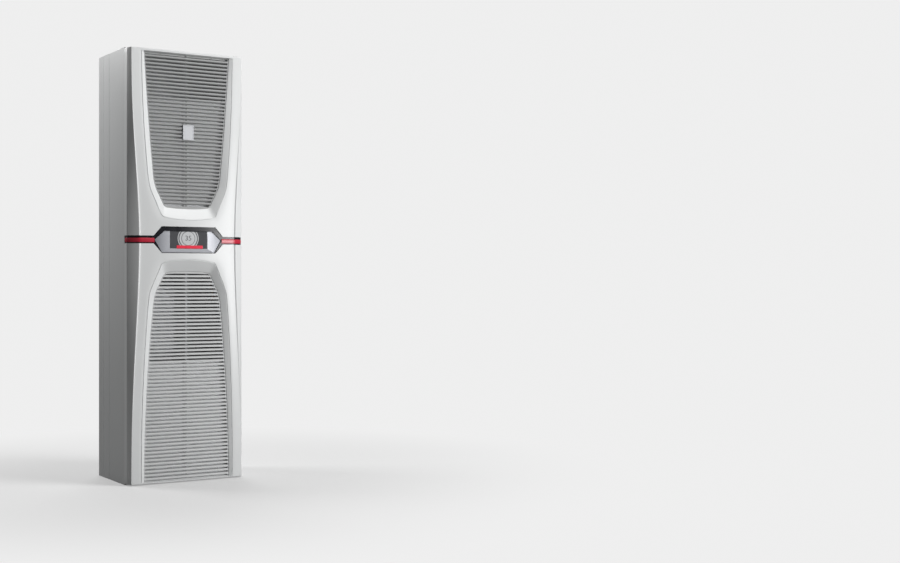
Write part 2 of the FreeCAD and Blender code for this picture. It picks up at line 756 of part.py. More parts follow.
def shells():
    outer = box((-HALF, COVER_BACK_Y, 0), (HALF, SEAM_Y, HEIGHT))
    inner = box(
        (-INSIDE_HALF, COVER_BACK_Y - EPS, SHEET),
        (INSIDE_HALF, SEAM_Y + EPS, HEIGHT - SHEET),
    )
    front = outer.cut(inner)
    front = front.multiFuse([ring_flange(COVER_BACK_Y), ring_flange(SEAM_Y - SHEET)])
    for x, z in boss_points(1) + boss_points(-1):
        front = front.cut(cylinder((x, COVER_BACK_Y - EPS, z), SCREW_R, SHEET + 2 * EPS, Y_AXIS))

    for x, y in lift_points():
        front = front.cut(cylinder((x, y, HEIGHT - SHEET - EPS), LIFT_R, SHEET + 2 * EPS, Z_AXIS))

    edge = INSIDE_HALF - SLIP
    partition = box((-edge, SEAM_Y, SHEET + SLIP), (edge, PARTITION_BACK_Y, HEIGHT - SHEET - SLIP))
    screws = []
    for x, z in partition_screw_points():
        hole = cylinder((x, SEAM_Y - SHEET - EPS, z), SCREW_R, SHEET + PLATE + 2 * EPS, Y_AXIS)
        front = front.cut(hole)
        partition = partition.cut(hole)
        stem = cylinder((x, SEAM_Y - SHEET, z), SCREW_R, SHEET + PLATE, Y_AXIS)
        head = cylinder((x, SEAM_Y - SHEET - SCREW_HEAD, z), SCREW_HEAD_R, SCREW_HEAD, Y_AXIS)
        screws.append(stem.fuse(head))
    for sign in (-1, 1):
        hole = cylinder((sign * PIPE_X, SEAM_Y - EPS, PASS_Z), PIPE_R + GROMMET_LIP, PLATE + 2 * EPS, Y_AXIS)
        partition = partition.cut(hole)
    NODES["front_shell"] = front.removeSplitter()
    NODES["partition_plate"] = partition

    seals = []
    for sign in (-1, 1):
        seals.append(tube((sign * PIPE_X, SEAM_Y, PASS_Z), PIPE_R + GROMMET_LIP, PIPE_R, PLATE, Y_AXIS))
    NODES["pipe_seals"] = Part.makeCompound(seals)

    outside = HALF - GASKET_INSET
    inside = outside - GASKET_WIDTH
    low = GASKET_INSET
    high = HEIGHT - GASKET_INSET
    strips = [box((-outside, PLATE_Y, low), (-inside, BACK_Y, high))]
    strips.append(box((inside, PLATE_Y, low), (outside, BACK_Y, high)))
    strips.append(box((-inside, PLATE_Y, low), (inside, BACK_Y, low + GASKET_WIDTH)))
    strips.append(box((-inside, PLATE_Y, high - GASKET_WIDTH), (inside, BACK_Y, high)))
    NODES["rear_gasket"] = Part.makeCompound(strips)
    return screws


def rear_walls():
    """The rear shell's wrap: two side walls with their pressed lines, a roof and a floor between them."""
    lines = []
    for start in LINE_STARTS:
        y = BACK_Y - start
        for sign in (-1, 1):
            ends = sorted((sign * (HALF - LINE_DEPTH), sign * (HALF + EPS)))
            lines.append(box((ends[0], y - LINE_WIDTH, -EPS), (ends[1], y, HEIGHT + EPS)))
    walls = []
    for sign in (-1, 1):
        ends = sorted((sign * INSIDE_HALF, sign * HALF))
        side = box((ends[0], SEAM_Y, 0), (ends[1], PLATE_Y, HEIGHT))
        walls.append(side.cut(Part.makeCompound(lines)).Solids[0])
    roof = box((-INSIDE_HALF, SEAM_Y, HEIGHT - SHEET), (INSIDE_HALF, PLATE_Y, HEIGHT))
    for x, y in lift_points():
        roof = roof.cut(cylinder((x, y, HEIGHT - SHEET - EPS), LIFT_R, SHEET + 2 * EPS, Z_AXIS))
    floor = box((-INSIDE_HALF, SEAM_Y, 0), (INSIDE_HALF, PLATE_Y, SHEET))
    floor = floor.cut(cylinder((DRAIN_X, DRAIN_Y, -EPS), DRAIN_R, SHEET + 2 * EPS, Z_AXIS))
    NODES["rear_shell"] = Part.makeCompound(walls + [roof.Solids[0], floor.Solids[0]])


def rear_panels():
    """The back: an outlet panel, a row of connector plates above it and a blower panel on top."""
    sockets = (MAINS_SOCKET, SIGNAL_SOCKET, NETWORK_SOCKET)
    holes = []
    for sign in (-1, 1):
        holes.append(cylinder((sign * BLOWER_X, BACK_INSIDE_Y - EPS, BLOWER_Z), INLET_R, 3 * SHEET, Y_AXIS))
    holes.append(
        box(
            (-OUTLET_HALF, BACK_INSIDE_Y - EPS, OUTLET_BOTTOM),
            (OUTLET_HALF, PLATE_Y + EPS, OUTLET_BOTTOM + OUTLET_HEIGHT),
        )
    )
    for width, height, x in sockets:
        holes.append(
            box(
                (x - width / 2 - SLIP, BACK_INSIDE_Y - EPS, SOCKET_Z - height / 2 - SLIP),
                (x + width / 2 + SLIP, PLATE_Y + EPS, SOCKET_Z + height / 2 + SLIP),
            )
        )
    holes.append(cylinder((EARTH_STUD_X, BACK_INSIDE_Y - EPS, SOCKET_Z), EARTH_STUD_R, 3 * SHEET, Y_AXIS))
    for x, z in insert_points():
        holes.append(cylinder((x, BACK_INSIDE_Y - EPS, z), INSERT_R, 3 * SHEET, Y_AXIS))

    right_edges = [x + width / 2 for width, height, x in sockets]
    left_edges = [x - width / 2 for width, height, x in sockets[1:]] + [EARTH_STUD_X - EARTH_STUD_R]
    joints = [(right + left) / 2 for right, left in zip(right_edges, left_edges)]
    row_low = SOCKET_Z - CONNECTOR_ROW / 2
    row_high = SOCKET_Z + CONNECTOR_ROW / 2
    gap = SLIP / 2
    sheets = [((-INSIDE_HALF, SHEET), (INSIDE_HALF, row_low - gap))]
    sheets.append(((-INSIDE_HALF, row_high + gap), (INSIDE_HALF, HEIGHT - SHEET)))
    starts = [-INSIDE_HALF] + [x + gap for x in joints]
    stops = [x - gap for x in joints] + [INSIDE_HALF]
    for left, right in zip(starts, stops):
        sheets.append(((left, row_low + gap), (right, row_high - gap)))
    cutters = Part.makeCompound(holes)
    panels = []
    for low, high in sheets:
        sheet = box((low[0], BACK_INSIDE_Y, low[1]), (high[0], PLATE_Y, high[1]))
        panels.append(sheet.cut(cutters).Solids[0])
    NODES["rear_plate"] = Part.makeCompound(panels)


def insert_points():
    levels = (INSERT_MARGIN, BAND_Z, HEIGHT - INSERT_MARGIN)
    return [(s * INSERT_X, z) for s in (-1, 1) for z in levels]


def inserts():
    rear = []
    for x, z in insert_points():
        rear.append(tube((x, PLATE_Y - INSERT_LENGTH, z), INSERT_R, INSERT_CORE_R, INSERT_LENGTH, Y_AXIS))
    NODES["mounting_inserts"] = Part.makeCompound(rear)
    top = []
    for x, y in lift_points():
        top.append(tube((x, y, HEIGHT - LIFT_LENGTH), LIFT_R, LIFT_CORE_R, LIFT_LENGTH, Z_AXIS))
    NODES["lifting_inserts"] = Part.makeCompound(top)


CONDENSER_FRONT_Y = LEDGE_Y + COVER_WALL + CONDENSER_GAP
CONDENSER_BACK_Y = CONDENSER_FRONT_Y + CONDENSER_THICK
CONDENSER_BASE = BAND_Z + COIL_BASE_RISE
CONDENSER_TOP = CONDENSER_BASE + CONDENSER_HEIGHT
SHROUD_Y = CONDENSER_BACK_Y + SHROUD_STAND
SHROUD_BACK_Y = SHROUD_Y + SHROUD_SHEET
EVAPORATOR_FRONT_Y = PARTITION_BACK_Y + EVAPORATOR_GAP
EVAPORATOR_BACK_Y = EVAPORATOR_FRONT_Y + EVAPORATOR_THICK
EVAPORATOR_TOP = EVAPORATOR_BASE + EVAPORATOR_HEIGHT
BLOWER_Z = HEIGHT - BLOWER_DROP


def coil(name, y_front, y_back, z_low, z_high):
    """A finned core and the two end plates that carry it to the side walls."""
    core = box((-COIL_HALF, y_front, z_low), (COIL_HALF, y_back, z_high))
    web_low = (y_front + y_back - CORE_WEB) / 2
    gaps = []
    for i in range(int((2 * COIL_HALF - COIL_FIN) / COIL_PITCH)):
        x = -COIL_HALF + COIL_FIN + i * COIL_PITCH
        far = x + COIL_PITCH - COIL_FIN
        gaps.append(box((x, y_front - EPS, z_low - EPS), (far, web_low, z_high + EPS)))
        gaps.append(box((x, web_low + CORE_WEB, z_low - EPS), (far, y_back + EPS, z_high + EPS)))
    NODES[name + "_core"] = core.cut(Part.makeCompound(gaps))
    plates = []
    for sign in (-1, 1):
        near = sign * COIL_HALF
        plate_x = sorted((near, near + sign * END_PLATE))
        tab_x = sorted((near, sign * INSIDE_HALF))
        plate = box((plate_x[0], y_front, z_low), (plate_x[1], y_back, z_high))
        tab = box(
            (tab_x[0], y_back, z_low + TAB_MARGIN),
            (tab_x[1], y_back + END_PLATE, z_high - TAB_MARGIN),
        )
        plates.append(plate.fuse(tab))
    NODES[name + "_end_plates"] = Part.makeCompound(plates)


def condenser_fan_levels():
    middle = (CONDENSER_BASE + CONDENSER_TOP) / 2
    return {"lower": middle - FAN_SPACING / 2, "upper": middle + FAN_SPACING / 2}


def condenser():
    coil("condenser", CONDENSER_FRONT_Y, CONDENSER_BACK_Y, CONDENSER_BASE, CONDENSER_TOP)
    edge = COIL_HALF - EPS
    low = CONDENSER_BASE + EPS
    high = CONDENSER_TOP - EPS
    shroud = box((-edge, CONDENSER_BACK_Y, low), (edge, SHROUD_BACK_Y, high))
    hollow = edge - SHROUD_SHEET
    shroud = shroud.cut(
        box(
            (-hollow, CONDENSER_BACK_Y - EPS, low + SHROUD_SHEET),
            (hollow, SHROUD_Y, high - SHROUD_SHEET),
        )
    )
    hole_r = CONDENSER_FAN_R + FAN_TIP_GAP
    motors = []
    brackets = []
    for name, z in condenser_fan_levels().items():
        shroud = shroud.cut(cylinder((0, SHROUD_Y - EPS, z), hole_r, SHROUD_SHEET + 2 * EPS, Y_AXIS))
        NODES["condenser_fan_" + name] = axial_fan(z)
        motor_y = SHROUD_Y + HUB_START + HUB_DEPTH + MOTOR_GAP
        motor = cylinder((0, motor_y, z), MOTOR_R, MOTOR_LENGTH, Y_AXIS)
        shaft = HUB_DEPTH + MOTOR_GAP - 2 * HUB_START
        motors.append(motor.fuse(cylinder((0, motor_y - shaft, z), FAN_SHAFT_R, shaft, Y_AXIS)))
        bar_y = motor_y + MOTOR_LENGTH
        reach = hole_r + BRACKET_POST
        half = BRACKET_BAR / 2
        bracket = [box((-reach, bar_y, z - half), (reach, bar_y + BRACKET_SHEET, z + half))]
        for ends in ((-reach, -reach + BRACKET_POST / 2), (reach - BRACKET_POST / 2, reach)):
            bracket.append(box((ends[0], SHROUD_BACK_Y, z - half), (ends[1], bar_y, z + half)))
        brackets.append(fuse_all(bracket))
    NODES["fan_shroud"] = shroud
    NODES["condenser_motors"] = Part.makeCompound(motors)
    NODES["fan_brackets"] = Part.makeCompound(brackets)


def axial_fan(z):
    """Hub and pitched blades, turning about Y."""
    start = SHROUD_Y + HUB_START
    hub = cylinder((0, start, 0), HUB_R, HUB_DEPTH, Y_AXIS)
    middle = start + HUB_DEPTH / 2
    blade = box(
        (HUB_R - BLADE_THICK, -BLADE_CHORD / 2, -BLADE_THICK / 2),
        (CONDENSER_FAN_R - FAN_TIP_GAP, BLADE_CHORD / 2, BLADE_THICK / 2),
    )
    blade.rotate(V(0, 0, 0), X_AXIS, 90 - BLADE_PITCH)
    blade.translate(V(0, middle, 0))
    blades = []
    for i in range(BLADE_COUNT):
        turned = blade.copy()
        turned.rotate(V(0, 0, 0), Y_AXIS, 360.0 * i / BLADE_COUNT)
        blades.append(turned)
    inside = cylinder((0, start, 0), CONDENSER_FAN_R, HUB_DEPTH, Y_AXIS)
    fan = hub.multiFuse([b.common(inside) for b in blades])
    bore = cylinder((0, start + HUB_START, 0), FAN_SHAFT_R + SHAFT_GAP, HUB_DEPTH, Y_AXIS)
    fan = fan.cut(bore)
    fan.translate(V(0, 0, z))
    return fan


def compressor():
    x, y = COMPRESSOR_X, COMPRESSOR_Y
    foot_z = SHEET + GROMMET_HEIGHT
    cup_z = foot_z + FOOT_PLATE
    feet = []
    for dx in (-GROMMET_SPAN_X / 2, GROMMET_SPAN_X / 2):
        for dy in (-GROMMET_SPAN_Y / 2, GROMMET_SPAN_Y / 2):
            feet.append(cylinder((x + dx, y + dy, SHEET), GROMMET_R, GROMMET_HEIGHT, Z_AXIS))
    NODES["compressor_grommets"] = Part.makeCompound(feet)
    span_x = GROMMET_SPAN_X / 2 + FOOT_MARGIN
    span_y = GROMMET_SPAN_Y / 2 + FOOT_MARGIN
    foot = box((x - span_x, y - span_y, foot_z), (x + span_x, y + span_y, cup_z))
    inner = COMPRESSOR_R - COMPRESSOR_WALL
    cup = cylinder((x, y, cup_z), COMPRESSOR_R, CUP_HEIGHT, Z_AXIS)
    floor_z = cup_z + COMPRESSOR_WALL
    cup = cup.cut(cylinder((x, y, floor_z), inner, CUP_HEIGHT, Z_AXIS))
    NODES["compressor_shell"] = cup.fuse(foot)
    cap_z = cup_z + CUP_HEIGHT
    cap = cylinder((x, y, cap_z), COMPRESSOR_R, CAP_HEIGHT, Z_AXIS)
    rim = [e for e in cap.Edges if abs(e.CenterOfMass.z - cap_z - CAP_HEIGHT) < EPS]
    cap = cap.makeFillet(CAP_ROUND, rim)
    hollow = cylinder((x, y, cap_z - EPS), inner - CAP_ROUND / 2, CAP_HEIGHT - COMPRESSOR_WALL + EPS, Z_AXIS)
    NODES["compressor_cap"] = cap.cut(hollow)
    fit = inner - SHAFT_GAP
    pump = cylinder((x, y, floor_z), fit, PUMP_HEIGHT, Z_AXIS)
    shaft_z = floor_z + SHAFT_FLOOR
    well = cylinder((x, y, shaft_z - SLIP), PUMP_SHAFT_R + SHAFT_GAP, PUMP_HEIGHT, Z_AXIS)
    NODES["compressor_pump"] = pump.cut(well)
    stator_z = floor_z + STATOR_START
    NODES["compressor_stator"] = tube((x, y, stator_z), fit, ROTOR_R + AIR_GAP, STATOR_HEIGHT, Z_AXIS)
    rotor = cylinder((x, y, stator_z), ROTOR_R, STATOR_HEIGHT, Z_AXIS)
    NODES["compressor_rotor"] = rotor.fuse(cylinder((x, y, shaft_z), PUMP_SHAFT_R, SHAFT_LENGTH, Z_AXIS))
    return cap_z + CAP_HEIGHT


def boxed_unit(name, low, high):
    """A tray with its lid on the front and a board on four posts inside."""
    wall = BOX_WALL
    tray = box(low, high)
    tray = tray.cut(
        box(
            (low[0] + wall, low[1] - EPS, low[2] + wall),
            (high[0] - wall, high[1] - wall, high[2] - wall),
        )
    )
    NODES[name + "_case"] = tray
    NODES[name + "_lid"] = box((low[0], low[1] - wall, low[2]), (high[0], low[1], high[2]))
    margin = 4 * wall
    back = high[1] - wall
    board = [
        box(
            (low[0] + margin, back - POST_HEIGHT - BOARD_THICK, low[2] + margin),
            (high[0] - margin, back - POST_HEIGHT, high[2] - margin),
        )
    ]
    for px in (low[0] + 2 * margin, high[0] - 2 * margin):
        for pz in (low[2] + 2 * margin, high[2] - 2 * margin):
            board.append(cylinder((px, back - POST_HEIGHT, pz), POST_R, POST_HEIGHT, Y_AXIS))
    NODES[name + "_board"] = fuse_all(board)


def electronics():
    front = LEDGE_Y + COVER_WALL + INVERTER_GAP + BOX_WALL
    back = front + INVERTER_DEPTH
    base = SHEET + FLANGE
    boxed_unit("inverter", (-INVERTER_HALF, front, base), (INVERTER_HALF, back, base + INVERTER_HEIGHT))
    low = base + HEATSINK_LOW
    high = low + HEATSINK_HEIGHT
    fins = [box((-HEATSINK_HALF, back, low), (HEATSINK_HALF, back + HEATSINK_BASE, high))]
    pitch = (2 * HEATSINK_HALF - FIN_THICK) / (FIN_COUNT - 1)
    for i in range(FIN_COUNT):
        x = -HEATSINK_HALF + i * pitch
        fins.append(box((x, back, low), (x + FIN_THICK, back + HEATSINK_BASE + FIN_HEIGHT, high)))
    NODES["inverter_heatsink"] = fuse_all(fins)
    low = (CONTROL_LEFT, SEAM_Y - CONTROL_DEPTH, CONTROL_BOTTOM)
    high = (CONTROL_LEFT + CONTROL_WIDTH, SEAM_Y, CONTROL_BOTTOM + CONTROL_HEIGHT)
    boxed_unit("control", low, high)


def refrigerant_circuit(compressor_top):
    middle_y = (CONDENSER_FRONT_Y + CONDENSER_BACK_Y) / 2
    coil_end = COIL_HALF + END_PLATE
    inlet_z = CONDENSER_TOP - PORT_MARGIN
    outlet_z = CONDENSER_BASE + PORT_MARGIN
    drier_top = DRIER_BOTTOM + DRIER_HEIGHT
    valve_top = DRIER_BOTTOM - VALVE_GAP
    valve_bottom = valve_top - VALVE_HEIGHT
    evaporator_y = (EVAPORATOR_FRONT_Y + EVAPORATOR_BACK_Y) / 2
    start_x = COMPRESSOR_X - DISCHARGE_OFFSET
    routes = {
        "discharge": [
            (start_x, COMPRESSOR_Y, compressor_top),
            (start_x, COMPRESSOR_Y, DISCHARGE_TURN_Z),
            (DISCHARGE_X, COMPRESSOR_Y, DISCHARGE_TURN_Z),
            (DISCHARGE_X, COMPRESSOR_Y, inlet_z),
            (DISCHARGE_X, middle_y, inlet_z),
            (coil_end, middle_y, inlet_z),
        ],
        "liquid": [
            (coil_end, middle_y, outlet_z),
            (PIPE_X, middle_y, outlet_z),
            (PIPE_X, LIQUID_Y, outlet_z),
            (PIPE_X, LIQUID_Y, drier_top),
        ],
        "valve": [
            (PIPE_X, LIQUID_Y, DRIER_BOTTOM),
            (PIPE_X, LIQUID_Y, valve_top),
        ],
        "injection": [
            (PIPE_X, LIQUID_Y, valve_bottom),
            (PIPE_X, LIQUID_Y, PASS_Z),
            (PIPE_X, evaporator_y, PASS_Z),
            (coil_end, evaporator_y, PASS_Z),
        ],
        "suction": [
            (-coil_end, evaporator_y, PASS_Z),
            (-PIPE_X, evaporator_y, PASS_Z),
            (-PIPE_X, COMPRESSOR_Y, PASS_Z),
            (-PIPE_X, COMPRESSOR_Y, SUCTION_Z),
            (COMPRESSOR_X - COMPRESSOR_R, COMPRESSOR_Y, SUCTION_Z),
        ],
    }
    tubes = {name: pipe(points, PIPE_R, PIPE_WALL, PIPE_BEND) for name, points in routes.items()}
    NODES["discharge_pipe"] = tubes["discharge"]
    NODES["suction_pipe"] = tubes["suction"]
    NODES["liquid_pipes"] = Part.makeCompound([tubes["liquid"], tubes["valve"], tubes["injection"]])
    NODES["filter_drier"] = cylinder((PIPE_X, LIQUID_Y, DRIER_BOTTOM), DRIER_R, DRIER_HEIGHT, Z_AXIS)
    half = VALVE_SIZE / 2
    NODES["expansion_valve"] = box(
        (PIPE_X - half, LIQUID_Y - half, valve_bottom),
        (PIPE_X + half, LIQUID_Y + half, valve_top),
    )
    clip_z = DRIER_BOTTOM + DRIER_HEIGHT / 2
    clip = box(
        (PIPE_X - DRIER_R, LIQUID_Y, clip_z - FLANGE),
        (PIPE_X + DRIER_R, SEAM_Y, clip_z + FLANGE),
    )
    NODES["drier_clip"] = clip.cut(
        cylinder((PIPE_X, LIQUID_Y, DRIER_BOTTOM), DRIER_R + SHAFT_GAP, DRIER_HEIGHT, Z_AXIS)
    )


def evaporator():
    coil("evaporator", EVAPORATOR_FRONT_Y, EVAPORATOR_BACK_Y, EVAPORATOR_BASE, EVAPORATOR_TOP)
    top = EVAPORATOR_BASE - TRAY_DROP
    low = top - TRAY_HEIGHT
    y_far = PARTITION_BACK_Y + TRAY_DEPTH
    tray = box((-TRAY_HALF, PARTITION_BACK_Y, low), (TRAY_HALF, y_far, top))
    tray = tray.cut(
        box(
            (-TRAY_HALF + TRAY_WALL, PARTITION_BACK_Y + TRAY_WALL, low + TRAY_WALL),
            (TRAY_HALF - TRAY_WALL, y_far - TRAY_WALL, top + EPS),
        )
    )
    tray = tray.cut(cylinder((DRAIN_X, DRAIN_Y, low - EPS), DRAIN_BORE_R, TRAY_WALL + 2 * EPS, Z_AXIS))
    NODES["condensate_tray"] = tray
    NODES["drain_pipe"] = tube((DRAIN_X, DRAIN_Y, 0), DRAIN_R, DRAIN_BORE_R, low, Z_AXIS)
    NODES["evaporator_baffle"] = box(
        (-INSIDE_HALF, EVAPORATOR_BACK_Y, EVAPORATOR_BASE - PLATE),
        (INSIDE_HALF, BACK_INSIDE_Y, EVAPORATOR_BASE),
    )


def blower(x):
    """Backward-curved radial impeller on a motor that stands on the partition."""
    motor = cylinder((x, PARTITION_BACK_Y, BLOWER_Z), BLOWER_MOTOR_R, BLOWER_MOTOR_LENGTH, Y_AXIS)
    motor_end = PARTITION_BACK_Y + BLOWER_MOTOR_LENGTH
    motor = motor.fuse(cylinder((x, motor_end, BLOWER_Z), BLOWER_SHAFT_R, BLOWER_SHAFT, Y_AXIS))
    start = motor_end + MOTOR_GAP
    disc = cylinder((0, start, 0), BLOWER_R, BLOWER_DISC, Y_AXIS)
    hub = cylinder((0, start, 0), BLOWER_HUB_R, BLOWER_DEPTH, Y_AXIS)
    ring_y = start + BLOWER_DISC + BLOWER_DEPTH
    ring = tube((0, ring_y, 0), BLOWER_R, INLET_R + INLET_GAP, BLOWER_DISC, Y_AXIS)
    blade = box(
        (BLOWER_BLADE_IN, start + BLOWER_DISC, 0),
        (BLOWER_R, ring_y, BLOWER_DISC),
    )
    blade.rotate(V(BLOWER_BLADE_IN, 0, 0), Y_AXIS, BLADE_PITCH)
    limit = cylinder((0, start, 0), BLOWER_R - BLOWER_DISC, 2 * BLOWER_DEPTH, Y_AXIS)
    blade = blade.common(limit)
    blades = []
    for i in range(BLOWER_BLADES):
        turned = blade.copy()
        turned.rotate(V(0, 0, 0), Y_AXIS, 360.0 * i / BLOWER_BLADES)
        blades.append(turned)
    wheel = disc.multiFuse([hub, ring] + blades)
    wheel = wheel.cut(cylinder((0, start - EPS, 0), BLOWER_SHAFT_R + SHAFT_GAP, BLOWER_SHAFT + EPS, Y_AXIS))
    wheel.translate(V(x, 0, BLOWER_Z))
    inlet_end = ring_y + BLOWER_DISC + INLET_GAP
    outer = INLET_R + INLET_WALL
    inlet = tube((x, inlet_end, BLOWER_Z), outer, INLET_R, BACK_INSIDE_Y - inlet_end, Y_AXIS)
    flange_r = INLET_R + INLET_FLANGE
    flange = tube((x, BACK_INSIDE_Y - INLET_WALL, BLOWER_Z), flange_r, INLET_R, INLET_WALL, Y_AXIS)
    return motor, wheel, inlet.fuse(flange)


def blowers():
    motors = []
    inlets = []
    guards = []
    for name, x in (("left", -BLOWER_X), ("right", BLOWER_X)):
        motor, wheel, inlet = blower(x)
        motors.append(motor)
        NODES["blower_wheel_" + name] = wheel
        inlets.append(inlet)
        outer = INLET_R + 2 * INLET_WALL
        rings = [tube((x, PLATE_Y, BLOWER_Z), outer, INLET_R - INLET_WALL, GUARD_WIRE, Y_AXIS)]
        for r in (INLET_R - GUARD_PITCH, INLET_R - 2 * GUARD_PITCH):
            rings.append(tube((x, PLATE_Y, BLOWER_Z), r, r - GUARD_WIRE, GUARD_WIRE, Y_AXIS))
        for reach, half in ((INLET_R, GUARD_WIRE / 2), (GUARD_WIRE / 2, INLET_R)):
            low = (x - reach, PLATE_Y, BLOWER_Z - half)
            rings.append(box(low, (x + reach, PLATE_Y + GUARD_WIRE, BLOWER_Z + half)))
        guards.append(fuse_all(rings))
    NODES["blower_motors"] = Part.makeCompound(motors)
    NODES["inlet_rings"] = Part.makeCompound(inlets)
    NODES["intake_guards"] = Part.makeCompound(guards)


def outlet():
    """Flat bars between two uprights, behind the opening of the rear plate."""
    low = OUTLET_BOTTOM - OUTLET_FRAME
    high = OUTLET_BOTTOM + OUTLET_HEIGHT + OUTLET_FRAME
    half = OUTLET_HALF + OUTLET_FRAME
    front = BACK_INSIDE_Y - OUTLET_BAR
    pieces = [box((-half, front, low), (-OUTLET_HALF, BACK_INSIDE_Y, high))]
    pieces.append(box((OUTLET_HALF, front, low), (half, BACK_INSIDE_Y, high)))
    levels = [(low, OUTLET_BOTTOM), (high - OUTLET_FRAME, high)]
    for i in range(1, int(OUTLET_HEIGHT / OUTLET_PITCH)):
        z = OUTLET_BOTTOM + i * OUTLET_PITCH
        levels.append((z - OUTLET_BAR / 2, z + OUTLET_BAR / 2))
    for bottom, top in levels:
        pieces.append(box((-OUTLET_HALF, front, bottom), (OUTLET_HALF, BACK_INSIDE_Y, top)))
    NODES["outlet_grille"] = Part.makeCompound(pieces)


def socket(width, height, x):
    """A socket body through the rear plate, open to the back."""
    front = PLATE_Y - SOCKET_DEPTH
    body = box((x - width / 2, front, SOCKET_Z - height / 2), (x + width / 2, PLATE_Y, SOCKET_Z + height / 2))
    lip = SOCKET_WALL
    flange = box(
        (x - width / 2 - lip, BACK_INSIDE_Y - lip, SOCKET_Z - height / 2 - lip),
        (x + width / 2 + lip, BACK_INSIDE_Y, SOCKET_Z + height / 2 + lip),
    )
    room = box(
        (x - width / 2 + lip, front + lip, SOCKET_Z - height / 2 + lip),
        (x + width / 2 - lip, PLATE_Y + EPS, SOCKET_Z + height / 2 - lip),
    )
    return body.fuse(flange).cut(room)


def connections():
    NODES["mains_socket"] = socket(*MAINS_SOCKET)
    NODES["signal_sockets"] = Part.makeCompound([socket(*SIGNAL_SOCKET), socket(*NETWORK_SOCKET)])
    start = BACK_INSIDE_Y - 2 * SHEET
    stud = cylinder((EARTH_STUD_X, start, SOCKET_Z), EARTH_STUD_R, BACK_Y - EPS - start, Y_AXIS)
    head = cylinder((EARTH_STUD_X, start, SOCKET_Z), 2 * EARTH_STUD_R, 2 * SHEET, Y_AXIS)
    NODES["earth_stud"] = stud.fuse(head)


def main():
    screws = front_covers()
    grilles()
    display_band()
    screws += shells()
    rear_walls()
    rear_panels()
    NODES["housing_screws"] = Part.makeCompound(screws)
    inserts()
    condenser()
    top = compressor()
    electronics()
    refrigerant_circuit(top)
    evaporator()
    blowers()
    outlet()
    connections()
    os.makedirs("parts", exist_ok=True)
    for name, shape in NODES.items():
        print(name, len(shape.Solids), round(shape.Volume), shape.isValid())
        shape.exportStep("parts/" + name + ".step")
    whole = Part.makeCompound(list(NODES.values())).optimalBoundingBox(False)
    print("nodes", len(NODES), "box", whole)


main()
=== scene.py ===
# %% [markdown]
# # Enclosure air conditioner: dressing a CAD frame
# The frame is a packed CAD model of a cooling unit that hangs on a control cabinet. Its pieces are
# already in place, in metres, with the front facing -Y and +Z up. This lesson gives each visible
# piece a finer mesh and a finish made of shader nodes. Nothing is moved: a new mesh stands exactly
# where its CAD piece stands.

import json
import math
from contextlib import contextmanager

import bmesh
import bpy
import numpy as np
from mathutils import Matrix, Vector


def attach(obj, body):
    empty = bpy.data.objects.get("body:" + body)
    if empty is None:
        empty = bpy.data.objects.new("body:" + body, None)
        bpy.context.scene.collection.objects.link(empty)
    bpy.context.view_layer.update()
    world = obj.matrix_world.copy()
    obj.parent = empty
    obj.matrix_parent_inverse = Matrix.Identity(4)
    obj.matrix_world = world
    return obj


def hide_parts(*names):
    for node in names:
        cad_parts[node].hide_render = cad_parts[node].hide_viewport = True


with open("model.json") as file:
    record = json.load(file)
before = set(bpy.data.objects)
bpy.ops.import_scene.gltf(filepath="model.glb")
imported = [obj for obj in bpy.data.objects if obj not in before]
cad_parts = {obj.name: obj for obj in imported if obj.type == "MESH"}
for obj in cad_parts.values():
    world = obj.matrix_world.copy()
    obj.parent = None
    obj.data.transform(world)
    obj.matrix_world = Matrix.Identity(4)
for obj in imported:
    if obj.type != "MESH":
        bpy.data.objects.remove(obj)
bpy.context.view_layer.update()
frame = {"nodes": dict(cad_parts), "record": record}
scene = bpy.context.scene
MM = 0.001


def link(name, data):
    """A new object in the scene."""
    made = bpy.data.objects.new(name, data)
    scene.collection.objects.link(made)
    return made


# %% [markdown]
# ## Camera
# The camera stands where the photographer's stood. Its place was worked out from the outline of the
# unit: the vertical edges stay vertical, so it looks level, and the two rows of top corners give
# the distance. A level camera with no shift also keeps every other view centred.

# %% Set the camera
CAMERA_PLACE = (-1.84475, -4.85194, 0.74351)
CAMERA_TURN_DEG = -32.628
LENS_MM, SENSOR_MM = 53.255, 36.0

camera = link("camera", bpy.data.cameras.new("camera"))
camera.data.sensor_width = SENSOR_MM
camera.data.lens = LENS_MM
camera.location = CAMERA_PLACE
camera.rotation_euler = (math.radians(90), 0, math.radians(CAMERA_TURN_DEG))
scene.camera = camera
print("camera", tuple(round(v, 3) for v in camera.location))

# %% [markdown]
# ## Shader maths in Python
# A finish is a small graph of nodes. Written by hand, a graph hides its idea behind many lines, so
# one class wraps a socket and lets Python's own operators add the Math nodes. Every other node
# comes from one method.

# %% Make the shader tools
def operator(operation, reflected=False):
    """A Python operator that adds a Math or Vector Math node."""

    def apply(self, other):
        pair = (other, self) if reflected else (self, other)
        vector = any(isinstance(v, Signal) and v.socket.type == "VECTOR" for v in pair)
        kind = "VectorMath" if vector else "Math"
        return self.finish.node(kind, {"operation": operation}, dict(enumerate(pair)))

    return apply


class Signal:
    """One output socket of a finish. Arithmetic on it adds nodes."""

    def __init__(self, finish, socket):
        self.finish = finish
        self.socket = socket

    __add__, __radd__ = operator("ADD"), operator("ADD", True)
    __sub__, __rsub__ = operator("SUBTRACT"), operator("SUBTRACT", True)
    __mul__, __rmul__ = operator("MULTIPLY"), operator("MULTIPLY", True)


